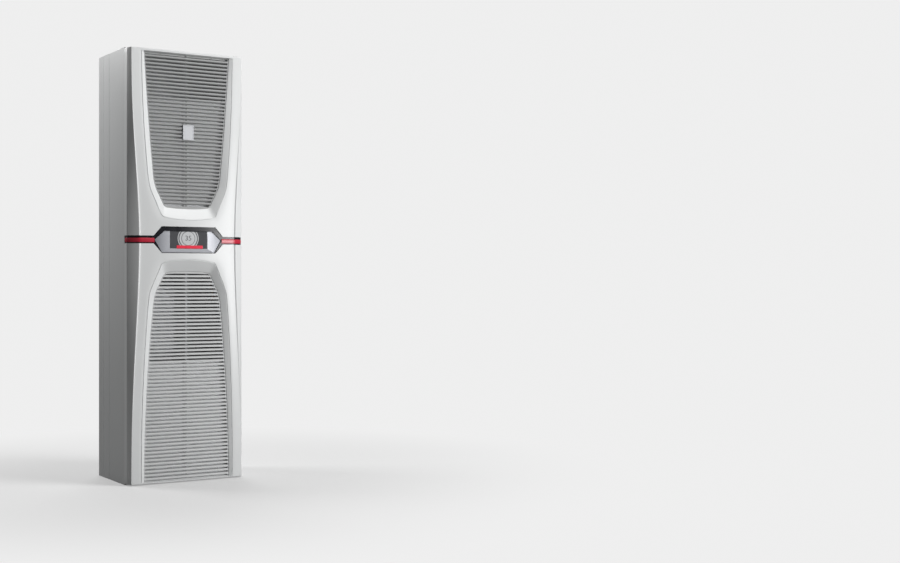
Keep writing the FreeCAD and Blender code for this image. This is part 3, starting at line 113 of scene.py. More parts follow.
class Finish:
    """A material under construction, with one Principled shader."""

    def __init__(self, name):
        self.material = bpy.data.materials.new(name)
        self.material.use_nodes = True
        self.tree = self.material.node_tree
        self.shader = self.tree.nodes["Principled BSDF"]

    def node(self, kind, settings, sockets, out=0):
        made = self.tree.nodes.new("ShaderNode" + kind)
        for name, value in settings.items():
            setattr(made, name, value)
        for key, value in sockets.items():
            if isinstance(value, Signal):
                self.tree.links.new(value.socket, made.inputs[key])
            else:
                made.inputs[key].default_value = value
        return Signal(self, made.outputs[out])

    def place(self, stretch=(1, 1, 1)):
        """Position in the unit's own frame, in metres, stretched along each axis."""
        spot = self.node("TexCoord", {}, {}, out="Object")
        return spot * stretch if stretch != (1, 1, 1) else spot

    def axis(self, index):
        return self.node("SeparateXYZ", {}, {0: self.place()}, out=index)

    def noise(self, scale, detail, stretch=(1, 1, 1)):
        sockets = {"Vector": self.place(stretch), "Scale": scale, "Detail": detail}
        return self.node("TexNoise", {}, sockets)

    def cells(self, scale, out="Distance"):
        return self.node("TexVoronoi", {}, {"Vector": self.place(), "Scale": scale}, out=out)

    def step(self, value, low, high, to_low=0.0, to_high=1.0):
        """Smoothly carries value from low..high to to_low..to_high."""
        sockets = {0: value, 1: low, 2: high, 3: to_low, 4: to_high}
        return self.node("MapRange", {"interpolation_type": "SMOOTHSTEP"}, sockets)

    def blend(self, share, first, second):
        """A colour between two colours."""
        colours = [c if isinstance(c, Signal) else (*c, 1.0) for c in (first, second)]
        sockets = {0: share, 6: colours[0], 7: colours[1]}
        return self.node("Mix", {"data_type": "RGBA"}, sockets, out=2)

    def bump(self, height, depth_mm, strength):
        sockets = {"Strength": strength, "Distance": depth_mm * MM, "Height": height}
        return self.node("Bump", {}, sockets, out="Normal")

    def surface(self, **sockets):
        """Sets or links the shader's own sockets, and gives back the material."""
        for name, value in sockets.items():
            target = self.shader.inputs[name.replace("_", " ").title().replace("Ior", "IOR")]
            if isinstance(value, Signal):
                self.tree.links.new(value.socket, target)
            elif target.type == "RGBA":
                target.default_value = (*value, 1.0)
            else:
                target.default_value = value
        return self.material


def shade(colour, factor):
    return tuple(channel * factor for channel in colour)


print("shader tools", [name for name in vars(Finish) if not name.startswith("_")])

# %% [markdown]
# ## Finishes
# The unit wears few finishes: powder coat on the sheet metal, a fine-grained moulding on the front,
# gloss black round the waist. Each varies a little in tone and has its own grain, at about the size
# that the real one has: a millimetre for powder coat, half of that for a moulding. An image would
# do for one view, but noise holds its grain at any distance.

# %% Paint and mouldings
LIGHT_GREY = (0.64, 0.65, 0.65)
# Span of x in metres, from the glass edge to the hexagon's tips, over which the display frame's
# silver is painted darker: a painted shade.
FACET_SHADE_REACH = (0.073, 0.130)
# Most values of a noise texture lie between these two.
NOISE_SPAN = (0.3, 0.7)


def powder_coat(name, colour):
    finish = Finish(name)
    cloud = finish.noise(2.5, 3.0)
    peel = finish.noise(900.0, 2.0)
    tone = finish.blend(cloud, shade(colour, 0.96), shade(colour, 1.04))
    roughness = finish.step(peel, *NOISE_SPAN, 0.36, 0.46)
    normal = finish.bump(peel, 0.05, 0.35)
    return finish.surface(base_color=tone, roughness=roughness, normal=normal)


def moulding(name, colour, rough, grain=1700.0):
    finish = Finish(name)
    cloud = finish.noise(4.0, 2.0)
    pits = finish.noise(grain, 3.0)
    tone = finish.blend(cloud, shade(colour, 0.965), shade(colour, 1.035))
    roughness = finish.step(pits, *NOISE_SPAN, rough - 0.05, rough + 0.07)
    normal = finish.bump(pits, 0.03, 0.35)
    return finish.surface(base_color=tone, roughness=roughness, normal=normal)


def glossy(name, drift, dark, light, rough, coat, specular=0.5):
    """A smooth surface whose tone and gloss drift a little."""
    finish = Finish(name)
    haze = finish.noise(*drift)
    tone = finish.blend(haze, dark, light)
    roughness = finish.step(haze, *NOISE_SPAN, *rough)
    gloss = {"coat_weight": coat[0], "coat_roughness": coat[1], "specular_ior_level": specular}
    return finish.surface(base_color=tone, roughness=roughness, **gloss)


def silver_lacquer(name):
    finish = Finish(name)
    flake = finish.cells(2600.0, "Color")
    sparkle = finish.node("SeparateColor", {}, {0: flake})
    # The silver turns darker towards the hexagon's tips, a painted shade on the facets: near is the
    # lit tone at the glass, far the shaded tone at the tips.
    to_tip = finish.node("Math", {"operation": "ABSOLUTE"}, {0: finish.axis(0)})
    painted_facet_shade = finish.step(to_tip, *FACET_SHADE_REACH)
    near = finish.blend(sparkle, (0.45, 0.46, 0.50), (0.54, 0.55, 0.58))
    far = finish.blend(sparkle, (0.22, 0.23, 0.26), (0.30, 0.31, 0.34))
    roughness = finish.step(sparkle, 0.0, 1.0, 0.42, 0.56)
    tone = finish.blend(painted_facet_shade, near, far)
    return finish.surface(base_color=tone, roughness=roughness, metallic=0.25, coat_weight=0.05)


print("grey of the housing", LIGHT_GREY)

# %% [markdown]
# ## Metals and rubber
# Inside, the metals tell the pieces apart: galvanised sheet shows its zinc crystals, drawn copper
# darkens in patches, machined steel shows fine lines. Cell noise gives the crystals, and noise that
# is stretched along one axis gives the lines. A table then names the finish of each material slot.

# %% Metals and rubber
def galvanised(name):
    finish = Finish(name)
    crystal = finish.node("SeparateColor", {}, {0: finish.cells(55.0, "Color")})
    film = finish.noise(14.0, 4.0)
    tone = finish.blend(crystal, (0.42, 0.43, 0.45), (0.58, 0.59, 0.61))
    roughness = finish.step(crystal * 0.6 + film * 0.4, 0.1, 0.9, 0.30, 0.52)
    return finish.surface(base_color=tone, roughness=roughness, metallic=0.9)


def lined_metal(name, colour, stretch, rough, metallic=1.0):
    """Metal with lines along the axis that is stretched least."""
    finish = Finish(name)
    lines = finish.noise(1.0, 3.0, stretch)
    film = finish.noise(9.0, 3.0)
    tone = finish.blend(lines, shade(colour, 0.86), shade(colour, 1.08))
    roughness = finish.step(film, *NOISE_SPAN, rough - 0.06, rough + 0.08)
    normal = finish.bump(lines, 0.02, 0.3)
    return finish.surface(base_color=tone, roughness=roughness, metallic=metallic, normal=normal)


def aged_metal(name, bright, dull, scale, rough):
    """Metal that has darkened in patches."""
    finish = Finish(name)
    patch = finish.step(finish.noise(scale, 5.0), 0.42, 0.66)
    tone = finish.blend(patch, bright, dull)
    roughness = finish.step(patch, 0.0, 1.0, rough, rough + 0.2)
    return finish.surface(base_color=tone, roughness=roughness, metallic=1.0)


def cellular_rubber(name):
    finish = Finish(name)
    pores = finish.cells(700.0)
    cloud = finish.noise(20.0, 3.0)
    tone = finish.blend(cloud, (0.014, 0.014, 0.015), (0.030, 0.030, 0.031))
    return finish.surface(base_color=tone, roughness=0.88, normal=finish.bump(pores, 0.25, 0.6))


def circuit_board(name):
    finish = Finish(name)
    sockets = {"Vector": finish.place((1, 0, 1)), "Scale": 60.0}
    sockets |= {"Mortar Size": 0.03, "Mortar Smooth": 0.2}
    tracks = finish.node("TexBrick", {"offset": 0.35, "squash": 1.6}, sockets, out="Fac")
    weave = finish.noise(500.0, 2.0)
    ground = finish.blend(weave, (0.012, 0.085, 0.040), (0.018, 0.115, 0.055))
    tone = finish.blend(tracks, ground, (0.045, 0.20, 0.085))
    return finish.surface(base_color=tone, roughness=0.36, normal=finish.bump(tracks, 0.03, 0.5))


RECIPES = {
    "painted_sheet": (powder_coat, shade(LIGHT_GREY, 0.98)),
    "cover_plastic": (moulding, shade(LIGHT_GREY, 1.10), 0.36),
    "louvre_plastic": (moulding, shade(LIGHT_GREY, 0.82), 0.42),
    "band_black": (
        glossy, (18.0, 4.0), (0.006, 0.006, 0.009), (0.014, 0.014, 0.018),
        (0.24, 0.34), (0.15, 0.2), 0.3,
    ),
    "strip_red": (
        glossy, (30.0, 3.0), (0.44, 0.010, 0.030), (0.58, 0.018, 0.048),
        (0.30, 0.40), (0.4, 0.28),
    ),
    "display_silver": (silver_lacquer,),
    "badge_grey": (lined_metal, (0.50, 0.51, 0.53), (40, 40, 3000), 0.48, 0.5),
    "display_glass": (
        glossy, (40.0, 3.0), (0.072, 0.073, 0.079), (0.088, 0.089, 0.096),
        (0.05, 0.10), (1.0, 0.02),
    ),
    "dark_plastic": (moulding, (0.028, 0.028, 0.031), 0.45, 1200.0),
    "board_green": (circuit_board,),
    "galvanised_sheet": (galvanised,),
    "fin_aluminium": (lined_metal, (0.84, 0.85, 0.86), (900, 60, 8), 0.5, 0.15),
    "zinc_steel": (aged_metal, (0.60, 0.61, 0.62), (0.46, 0.47, 0.48), 60.0, 0.26),
    "motor_black": (moulding, (0.018, 0.018, 0.020), 0.34, 700.0),
    "machined_steel": (lined_metal, (0.44, 0.44, 0.45), (30, 30, 1600), 0.30),
    "pipe_copper": (aged_metal, (0.80, 0.40, 0.24), (0.46, 0.19, 0.10), 22.0, 0.24),
    "valve_brass": (aged_metal, (0.72, 0.54, 0.24), (0.50, 0.34, 0.13), 60.0, 0.24),
    "seal_rubber": (cellular_rubber,),
}
FINISHES = {name: make(name, *values) for name, (make, *values) in RECIPES.items()}
# A darker copy of the louvre plastic for the upper grille: a painted shade on its slats, which are
# seen from below.
SHADED_UPPER_LOUVRE = moulding("louvre_upper_painted_shade", shade(LIGHT_GREY, 0.53), 0.46)
print("finishes", len(FINISHES) + 1)

# %% [markdown]
# ## Floor and light
# The floor and backdrop are pale and plain. The unit is lit as in the photograph: a soft key lamp
# high at the front right, a tall panel low at the front right that brightens the right rail and the
# undersides of the slats, and one behind the upper left that fades down the side. A fourth lamp
# lights the rear. Near the unit the floor takes its shadow; further out it melts into the backdrop,
# which only the camera sees.

# %% Build the stage
FLOOR_HALF = 14.0
BACKDROP = 0.86
AMBIENT = 0.15
SHADOW_NEAR, SHADOW_FAR, SHADOW_GLOW = 0.5, 1.8, 0.35
FLOOR_PALE, FLOOR_BOUNCE = 0.72, 0.14

floor_mesh = bpy.data.meshes.new("floor")
CORNER_SIGNS = ((-1, -1), (1, -1), (1, 1), (-1, 1))
corners = [(sx * FLOOR_HALF, sy * FLOOR_HALF, 0.0) for sx, sy in CORNER_SIGNS]
floor_mesh.from_pydata(corners, [], [(0, 1, 2, 3)])
floor = link("floor", floor_mesh)
floor_finish = Finish("floor_pale")
seen = floor_finish.node("LightPath", {}, {}, out="Is Camera Ray")
pale = floor_finish.blend(floor_finish.noise(0.8, 3.0), (FLOOR_PALE * 0.98,) * 3, (FLOOR_PALE,) * 3)
tint = floor_finish.blend(seen, (FLOOR_BOUNCE,) * 3, pale)
floor_mesh.materials.append(floor_finish.surface(base_color=tint, roughness=0.8))
spot = floor_finish.place()
distance = floor_finish.node("VectorMath", {"operation": "LENGTH"}, {0: spot}, out="Value")
share = floor_finish.step(distance, SHADOW_NEAR, SHADOW_FAR, SHADOW_GLOW, 1.0) * seen
glow = floor_finish.node("Emission", {}, {"Color": (1.0, 1.0, 1.0, 1.0), "Strength": BACKDROP})
matte = Signal(floor_finish, floor_finish.shader.outputs["BSDF"])
mixed = floor_finish.node("MixShader", {}, {0: share, 1: matte, 2: glow})
surface = floor_finish.tree.nodes["Material Output"].inputs["Surface"]
floor_finish.tree.links.new(mixed.socket, surface)

world = bpy.data.worlds.new("studio")
scene.world = world
world.use_nodes = True
sky = world.node_tree
rays = sky.nodes.new("ShaderNodeLightPath")
level = sky.nodes.new("ShaderNodeMapRange")
level.inputs["To Min"].default_value = AMBIENT
level.inputs["To Max"].default_value = BACKDROP
sky.links.new(rays.outputs["Is Camera Ray"], level.inputs["Value"])
sky.links.new(level.outputs["Result"], sky.nodes["Background"].inputs["Strength"])
sky.nodes["Background"].inputs["Color"].default_value = (1.0, 1.0, 1.0, 1.0)


def soft_lamp(name, place, target, size, power):
    lamp = link(name, bpy.data.lights.new(name, "AREA"))
    lamp.data.shape = "RECTANGLE"
    lamp.data.size, lamp.data.size_y = size
    lamp.data.energy = power
    lamp.location = place
    aim = Vector(target) - Vector(place)
    lamp.rotation_euler = aim.to_track_quat("-Z", "Y").to_euler()


LAMPS = (
    # name, place, target, size and power
    ("key", (1.4, -1.8, 3.3), (0.1, -0.1, 0.7), (1.2, 1.2), 54.0),
    ("right_strip", (2.15, -2.65, 0.85), (0.2, -0.15, 0.9), (1.0, 1.6), 72.0),
    ("upper_left", (-1.1, 1.2, 2.3), (-0.22, 0.0, 1.35), (0.8, 0.8), 28.0),
    ("back", (0.8, 2.4, 2.4), (0.0, 0.0, 0.8), (1.6, 1.6), 38.0),
)
for lamp in LAMPS:
    soft_lamp(*lamp)
scene.view_settings.view_transform = "Standard"

# %% [markdown]
# ## From points to pieces
# Each piece is a mesh made in millimetres, as a workshop drawing would give it, and scaled once. A
# helper links it, bakes its modifiers, shades it smooth except at sharp edges, and tells the frame
# which body carries it. Where an edge is rounded, the normals are weighted by area, so that the
# large faces beside it stay flat.

# %% Piece helpers
SHARP_DEG, ROUND_OVER = 34.0, math.radians(32.0)


def mesh_from(points, faces, name):
    """A mesh in metres from points in millimetres."""
    mesh = bpy.data.meshes.new(name)
    mesh.from_pydata([tuple(c * MM for c in p) for p in points], [], [tuple(f) for f in faces])
    mesh.update()
    return mesh


@contextmanager
def edited(mesh):
    """Opens a mesh for editing and writes it back."""
    work = bmesh.new()
    work.from_mesh(mesh)
    yield work
    work.to_mesh(mesh)
    work.free()


def bevel(shape, width_mm, segments, **settings):
    made = shape.modifiers.new("round", "BEVEL")
    made.width = width_mm * MM
    made.segments = segments
    for name, value in settings.items():
        setattr(made, name, value)


def baked_mesh(shape):
    """The mesh of an object as its modifiers leave it."""
    bpy.context.view_layer.update()
    graph = bpy.context.evaluated_depsgraph_get()
    return bpy.data.meshes.new_from_object(shape.evaluated_get(graph))


def bake(shape):
    """Turns the modifiers of a piece into its mesh."""
    shape.data = baked_mesh(shape)
    shape.modifiers.clear()
    return shape.data


def settle(shape, sharp_deg=SHARP_DEG, flat_faces=False):
    """Bakes a piece and shades it smooth; flat_faces keeps large faces flat beside their rounds."""
    baked = bake(shape)
    baked.polygons.foreach_set("use_smooth", [True] * len(baked.polygons))
    baked.set_sharp_from_angle(angle=math.radians(sharp_deg))
    if flat_faces:
        weight = shape.modifiers.new("flat", "WEIGHTED_NORMAL")
        weight.mode = "FACE_AREA"
        weight.weight = 100
        weight.keep_sharp = True
        bake(shape)
    return shape


def rounded_mesh(mesh, width_mm, segments, wall_mm=0.0):
    """A mesh with its weighted edges rounded and, if asked, a wall."""
    shape = link("work", mesh)
    bevel(shape, width_mm, segments, limit_method="WEIGHT", use_clamp_overlap=False)
    if wall_mm:
        wall = shape.modifiers.new("wall", "SOLIDIFY")
        wall.thickness = wall_mm * MM
        wall.offset = -1.0
    baked = settle(shape).data
    bpy.data.objects.remove(shape)
    return baked


def put(
    name, mesh, slot=None, node=None,
    rounding=0.0, sharp_deg=SHARP_DEG, finish=None, flat_faces=False,
):
    """Links and finishes a piece. One that stands for a CAD node takes its slot and body."""
    slot = slot or SLOT_OF[node]
    body = body_of(node) if node else "housing"
    shape = link(name, mesh)
    mesh.materials.clear()
    mesh.materials.append(finish or FINISHES[slot])
    if rounding:
        bevel(shape, rounding, segments=2, angle_limit=ROUND_OVER, miter_outer="MITER_ARC")
    settle(shape, sharp_deg, flat_faces or rounding > 0.0)
    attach(shape, body)
    if node:
        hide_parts(node)
    return shape


def node_box(node):
    """Low and high corner of a CAD node, in millimetres."""
    spots = np.array([v.co for v in frame["nodes"][node].data.vertices]) / MM
    return spots.min(axis=0), spots.max(axis=0)


def body_of(node):
    bodies = frame["record"]["behaviour"]["bodies"]
    return next(body for body, members in bodies.items() if node in members)


SLOT_OF = {part["node"]: part["material_slot"] for part in frame["record"]["subparts"]}
print("slots in use", len(set(SLOT_OF.values())))

# %% [markdown]
# ## Shape of the front
# The front is an hourglass: seen from ahead it narrows to a waist at the display band, where it
# also stands furthest forward. One smooth share, 0 at the ends and 1 at the waist, drives both.
# These are the same values as in the CAD source, so the finer mesh lies on the CAD solid.

# %% Front shape
HALF, HEIGHT = 225.0, 1600.0
RAIL_Y, COVER_BACK_Y = -164.0, -117.0
COVER_BOTTOM, COVER_TOP, BAND_Z = 5.0, 1596.0, 897.0
GRILLE_Y, LEDGE_Y, LEDGE = -159.0, -147.0, 8.0
FLANK_DEPTH, WAIST_BULGE, EDGE_BULGE = 21.0, 17.0, 5.0
BAND_HALF_HEIGHT, HEX_HALF_HEIGHT = 14.5, 49.0
END_INSET, WAIST_INSET, WAIST_POWER = 9.5, 27.5, 1.2
HEX_TIP, HEX_CORNER = 135.0, 105.0


def waist_share(z):
    end = COVER_TOP if z > BAND_Z else COVER_BOTTOM
    t = max((end - z) / (end - BAND_Z), 0.0) ** WAIST_POWER
    return t * t * (3 - 2 * t)


def front_edge(z):
    """Half the width of the front face at height z."""
    return HALF - END_INSET - WAIST_INSET * waist_share(z)


def front_y(x, z):
    edge = front_edge(z)
    bulge = WAIST_BULGE - (WAIST_BULGE - EDGE_BULGE) * (x / edge) ** 2
    return RAIL_Y - waist_share(z) * bulge


def arc_points(start, middle, end, count):
    """Points on the circle through three points, end left out."""
    (ax, ay), (bx, by), (cx, cy) = start, middle, end
    d = 2 * (ax * (by - cy) + bx * (cy - ay) + cx * (ay - by))
    a2, b2, c2 = ax * ax + ay * ay, bx * bx + by * by, cx * cx + cy * cy
    ux = (a2 * (by - cy) + b2 * (cy - ay) + c2 * (ay - by)) / d
    uy = (a2 * (cx - bx) + b2 * (ax - cx) + c2 * (bx - ax)) / d
    first = math.atan2(ay - uy, ax - ux)
    turn = (math.atan2(cy - uy, cx - ux) - first + math.pi) % (2 * math.pi) - math.pi
    radius = math.hypot(ax - ux, ay - uy)
    angles = [first + turn * i / count for i in range(count)]
    return [(ux + radius * math.cos(a), uy + radius * math.sin(a)) for a in angles]


def trimmed(points, distance):
    """Cuts a distance off the start of a polyline."""
    rest = list(points)
    while True:
        step = math.dist(rest[0], rest[1])
        if step > distance:
            share = distance / step
            cut = tuple(a + (b - a) * share for a, b in zip(rest[0], rest[1]))
            return [cut] + rest[1:]
        distance -= step
        rest = rest[1:]


def curve(a, corner, b, t):
    """Place at share t of a curve from a to b that a corner pulls."""
    return (1 - t) ** 2 * a + 2 * t * (1 - t) * corner + t * t * b


def joined(first, second, trim, steps):
    """Two polylines that meet in a corner, joined by a round."""
    corner = second[0]
    head = trimmed(first[::-1], trim)[::-1]
    tail = trimmed(second, trim)
    axes = list(zip(head[-1], corner, tail[0]))
    bend = [tuple(curve(*axis, i / steps) for axis in axes) for i in range(1, steps)]
    return head + bend + tail


print("waist: half width", front_edge(BAND_Z), "front at", front_y(0.0, BAND_Z))

# %% [markdown]
# ## Recess outlines
# Each louvre grille sits in a bevelled recess. Its outline has a slightly bowed side, a wide round
# at the shoulder, a tight one at the corner and a shallow crown. The outline on the front skin is
# larger than the one at the grille, and the slope between the two is the bevel that catches the
# light.

# %% Recess outlines
END_HALF, BEVEL_END = 166.5, 11.5
SHOULDER, CORNER, CROWN = (128.5, 203.0), (88.0, 120.0), 115.0
LIP_SHOULDER, LIP_CORNER, LIP_CROWN = (152.0, 195.0), (104.0, 84.0), 72.0
SIDE_STEPS, CROWN_STEPS = 26, 10
SHOULDER_TRIM, CORNER_TRIM = (29.0, 8), (11.0, 6)


def half_outline(end, shoulder, corner, crown, bow):
    """Right half of an outline: from the end's corner to the middle of the crown."""
    middle = ((end[0] + shoulder[0]) / 2 + bow, (end[1] + shoulder[1]) / 2)
    side = arc_points(end, middle, shoulder, SIDE_STEPS) + [shoulder]
    slope = [shoulder, corner]
    arc = arc_points(corner, (0.0, crown), (-corner[0], corner[1]), 2 * CROWN_STEPS)
    top = arc[: CROWN_STEPS + 1]
    return joined(joined(side, slope, *SHOULDER_TRIM), top, *CORNER_TRIM)


class Recess:
    """Outlines of one recess as (x, rise) pairs; rise counts away from the band."""

    def __init__(self, up, end_rise, bow, lip_bow):
        self.up = up
        self.end_rise = end_rise
        self.grille = half_outline((END_HALF, end_rise), SHOULDER, CORNER, CROWN, bow)
        lip_end = (END_HALF + BEVEL_END, end_rise)
        self.lip = half_outline(lip_end, LIP_SHOULDER, LIP_CORNER, LIP_CROWN, lip_bow)

    def z(self, rise):
        return BAND_Z + self.up * rise

    def half_width(self, rise, inset):
        """Half the grille's width at a rise."""
        rises = [p[1] for p in self.grille][::-1]
        widths = [p[0] for p in self.grille][::-1]
        return float(np.interp(rise, rises, widths)) - inset


UPPER = Recess(1, 690.0, 2.5, 6.0)
LOWER = Recess(-1, 889.0, 8.5, 8.0)
print("outline points", len(UPPER.grille), len(LOWER.grille))

# %% [markdown]
# ## Front covers
# A cover half is one moulding. Its mesh is a set of rings round the recess: ledge, wall, bevel,
# skin, and then the flank and side. Rings keep the edge loops along the form, so the light runs
# cleanly over it. A boolean cut would be quicker to write, but it leaves long thin faces that shade
# badly on a curved skin. A groove runs round the lip of the recess. Along the outer edges runs a
# narrow ridge, which stands 4.2 mm above the CAD skin at the waist and runs out at the ends.

# %% Cover outlines
RIDGE_RISE, RIDGE_END_WIDTH, RIDGE_WAIST_WIDTH, RIDGE_RUN = 4.2, 2.5, 5.6, 40.0
JOINT_WIDTH, JOINT_DEPTH = 1.8, 2.4
TOP_STEPS, EDGE_STEPS, WAIST_STEPS, NOTCH_STEPS, TIP_STEPS, HEX_STEPS = 8, 26, 12, 8, 5, 9
SIDE_END = TOP_STEPS + EDGE_STEPS + WAIST_STEPS
WAIST_START, SHOULDER_END, CORNER_REACH = 178.0, 205.0, 14.0
NOTCH_SHARE, TIP_SHARE = 0.55, 0.30


def ridge_width(z):
    """Width of the slope that rises from the skin to the outer edge; nothing at the ends."""
    run = min(COVER_TOP - z, z - COVER_BOTTOM) / RIDGE_RUN
    return RIDGE_END_WIDTH * min(run, 1.0) + (RIDGE_WAIST_WIDTH - RIDGE_END_WIDTH) * waist_share(z)


def split(marks, counts):
    """Places from mark to mark, each stretch in its own number of steps."""
    places = []
    for low, high, count in zip(marks, marks[1:], counts):
        places += [low + (high - low) * i / count for i in range(count)]
    return places + [marks[-1]]


def cover_columns(recess):
    """Matching points of the grille outline, the lip and the ridge's foot, over the right half."""
    counts = (EDGE_STEPS, WAIST_STEPS, NOTCH_STEPS, TIP_STEPS, HEX_STEPS)
    end = COVER_TOP - BAND_Z if recess.up > 0 else BAND_Z - COVER_BOTTOM

    def foot(rise):
        z = recess.z(rise)
        return (front_edge(z) - ridge_width(z), rise)

    outer = [foot(r) for r in split([end, WAIST_START, BAND_HALF_HEIGHT], counts[:2])[:-1]]
    corners = [foot(BAND_HALF_HEIGHT), (HEX_TIP, BAND_HALF_HEIGHT)]
    corners += [(HEX_CORNER, HEX_HALF_HEIGHT), (0.0, HEX_HALF_HEIGHT)]
    outer += zip(*(split(axis, counts[2:]) for axis in zip(*corners)))
    lines = []
    for line in (recess.grille, recess.lip):
        points = np.array(line)
        run = np.append(0.0, np.cumsum(np.linalg.norm(np.diff(points, axis=0), axis=1)))
        shoulder = run[np.argmax(points[:, 1] < SHOULDER_END)]
        corner = run[np.argmax(points[:, 1] < points[-1, 1] + CORNER_REACH)]
        marks = [0.0, shoulder, shoulder + NOTCH_SHARE * (corner - shoulder), corner]
        marks += [corner + TIP_SHARE * (run[-1] - corner), run[-1]]
        places = split(marks, counts)
        lines.append([tuple(float(np.interp(m, run, axis)) for axis in points.T) for m in places])
    return *lines, outer


def normals(points):
    """Unit normals of a polyline in a plane."""
    run = np.gradient(points, axis=0)
    normal = np.stack([run[:, 1], -run[:, 0]], axis=1)
    return normal / np.linalg.norm(normal, axis=1)[:, None]


def inset_line(line, distance):
    """A polyline over the right half, moved towards the inside of its outline."""
    points = np.array(line, float)
    normal = normals(points)
    normal[-1] = (0.0, 1.0)
    moved = points + normal * distance
    moved[0, 1] = points[0, 1] - distance
    return [tuple(p) for p in moved]


def cover_rows(recess):
    """Rings of points over the right half, each from the end's middle round to the crown."""
    grille, lip, outer = cover_columns(recess)
    ledge = inset_line(grille, LEDGE)
    joint = inset_line(lip, JOINT_WIDTH)
    joint[0] = (joint[0][0], lip[0][1])

    def with_end(line, start):
        return [(start[0] * i / TOP_STEPS, start[1]) for i in range(TOP_STEPS)] + line

    pairs = ((ledge, ledge), (grille, grille), (joint, lip), (lip, lip), (outer, outer))
    ledge, grille, joint, lip, foot = (with_end(line, start[0]) for line, start in pairs)
    ledge_wall = ((ledge, LEDGE_Y), (grille, LEDGE_Y), (grille, GRILLE_Y))
    rows = [[(x, y, recess.z(r)) for x, r in line] for line, y in ledge_wall]
    skin = [(joint, 0.0), (joint, JOINT_DEPTH), (lip, JOINT_DEPTH), (lip, 0.0)]
    for share in (1 / 3, 2 / 3):
        between = [[a + (b - a) * share for a, b in zip(p, q)] for p, q in zip(lip, foot)]
        skin.append((between, 0.0))
    for line, drop in skin + [(foot, 0.0)]:
        rows.append([(x, front_y(x, recess.z(r)) + drop, recess.z(r)) for x, r in line])
    carried = foot[: SIDE_END + 1]
    levels = [recess.z(r) for _, r in carried]
    shares = [x / carried[TOP_STEPS][0] for x, _ in carried[:TOP_STEPS]]
    shares += [1.0] * (len(carried) - TOP_STEPS)
    crest = [(s * front_edge(z), z) for s, z in zip(shares, levels)]
    rows.append([(x, front_y(x, z) - RIDGE_RISE * waist_share(z), z) for x, z in crest])
    for y in (RAIL_Y + FLANK_DEPTH, COVER_BACK_Y):
        rows.append([(s * HALF, y, z) for s, z in zip(shares, levels)])
    return rows


print("cover rings", [len(row) for row in cover_rows(UPPER)])

# %% [markdown]
# ## Cover skins
# The rings of the right half are mirrored and joined to faces. Where two rings run together, as
# along the ends, they share their points. A weight on each edge tells the bevel how far to cut: the
# offset is the radius times the tangent of half the turn. A solidify modifier then gives the
# moulding its wall.

# %% Build the covers
COVER_WALL, CENTRE = 3.0, 1e-6
FLANK_ROUND, END_ROUND, LIP_ROUND, LIP_END_ROUND, RIDGE_FOOT_ROUND = 8.0, 2.4, 0.9, 0.5, 1.2
ROUND_LIMIT, LOW_END_LIMIT, RIDGE_SHARE = 6.0, 0.8, 0.45
JOINT_ROW, LIP_ROW, FOOT_ROW, EDGE_ROW, FLANK_ROW = 3, 6, 9, 10, 11
RIDGE_START = TOP_STEPS + 2


def cover_mesh(name, rows, up):
    """The skin of both halves, and the row and column that each of its points came from."""
    points, index, faces = [], {}, []
    for r, row in enumerate(rows):
        for c, (x, y, z) in enumerate(row):
            for side in (1, -1):
                if JOINT_ROW < r <= LIP_ROW and c < TOP_STEPS:
                    index[r, c, side] = index[JOINT_ROW, c, side]
                elif r == EDGE_ROW and c <= TOP_STEPS:
                    index[r, c, side] = index[FOOT_ROW, c, side]
                elif side < 0 and abs(x) < CENTRE:
                    index[r, c, side] = index[r, c, 1]
                else:
                    index[r, c, side] = len(points)
                    points.append((side * x, y, z))
    for r in range(len(rows) - 1):
        for c in range(min(len(rows[r]), len(rows[r + 1])) - 1):
            for side in (1, -1):
                spots = ((r, c), (r, c + 1), (r + 1, c + 1), (r + 1, c))
                quad = [index[row, column, side] for row, column in spots]
                loop = list(dict.fromkeys(quad if side * up > 0 else quad[::-1]))
                if len(loop) > 2:
                    faces.append(loop)
    return mesh_from(points, faces, name), {spot: key[:2] for key, spot in index.items()}


def edge_radius(row, column):
    """Radius of the edge that runs along a row up to a column."""
    at_end = column <= TOP_STEPS
    if row == EDGE_ROW:
        return END_ROUND if at_end else FLANK_ROUND
    if row == FOOT_ROW and RIDGE_START < column <= SIDE_END:
        return RIDGE_FOOT_ROUND
    if row == FLANK_ROW and not at_end:
        return FLANK_ROUND
    if row in (JOINT_ROW, LIP_ROW):
        return LIP_END_ROUND if at_end else LIP_ROUND
    return 0.0


def build_cover(name, recess, node):
    mesh, place = cover_mesh(name, cover_rows(recess), recess.up)
    with edited(mesh) as work:
        facing = sum(f.normal.y * f.calc_area() for f in work.faces)
        print(name, "area that faces forward", round(-facing, 4))
        weights = work.edges.layers.float.new("bevel_weight_edge")
        for edge in work.edges:
            (ra, ca), (rb, cb) = (place[v.index] for v in edge.verts)
            column = max(ca, cb)
            radius = edge_radius(ra, column) if ra == rb else 0.0
            if ca == cb == TOP_STEPS and min(ra, rb) >= EDGE_ROW:
                radius = radius or END_ROUND
            if radius and len(edge.link_faces) == 2:
                limit = LOW_END_LIMIT if recess.up < 0 and column <= TOP_STEPS else ROUND_LIMIT
                if ra == rb == EDGE_ROW and column > TOP_STEPS:
                    limit = RIDGE_SHARE * min(ridge_width(v.co.z / MM) for v in edge.verts)
                offset = radius * math.tan(edge.calc_face_angle(0.0) / 2)
                edge[weights] = min(offset, limit) / FLANK_ROUND
    baked = rounded_mesh(mesh, FLANK_ROUND, segments=4, wall_mm=COVER_WALL)
    cover = put(name, baked, node=node, sharp_deg=30.0)
    print(name, "faces", len(cover.data.polygons))


build_cover("upper_cover_skin", UPPER, "upper_cover")
build_cover("lower_cover_skin", LOWER, "lower_cover")

# %% [markdown]
# ## Closed forms
# Most small pieces are lofts: the same ring of points repeated along a path. One collector takes
# any number of them and gives back a single mesh. A ring that meets itself makes a frame, a ring
# with capped ends makes a bar, and a circle carried along a line makes a wire or a tube.

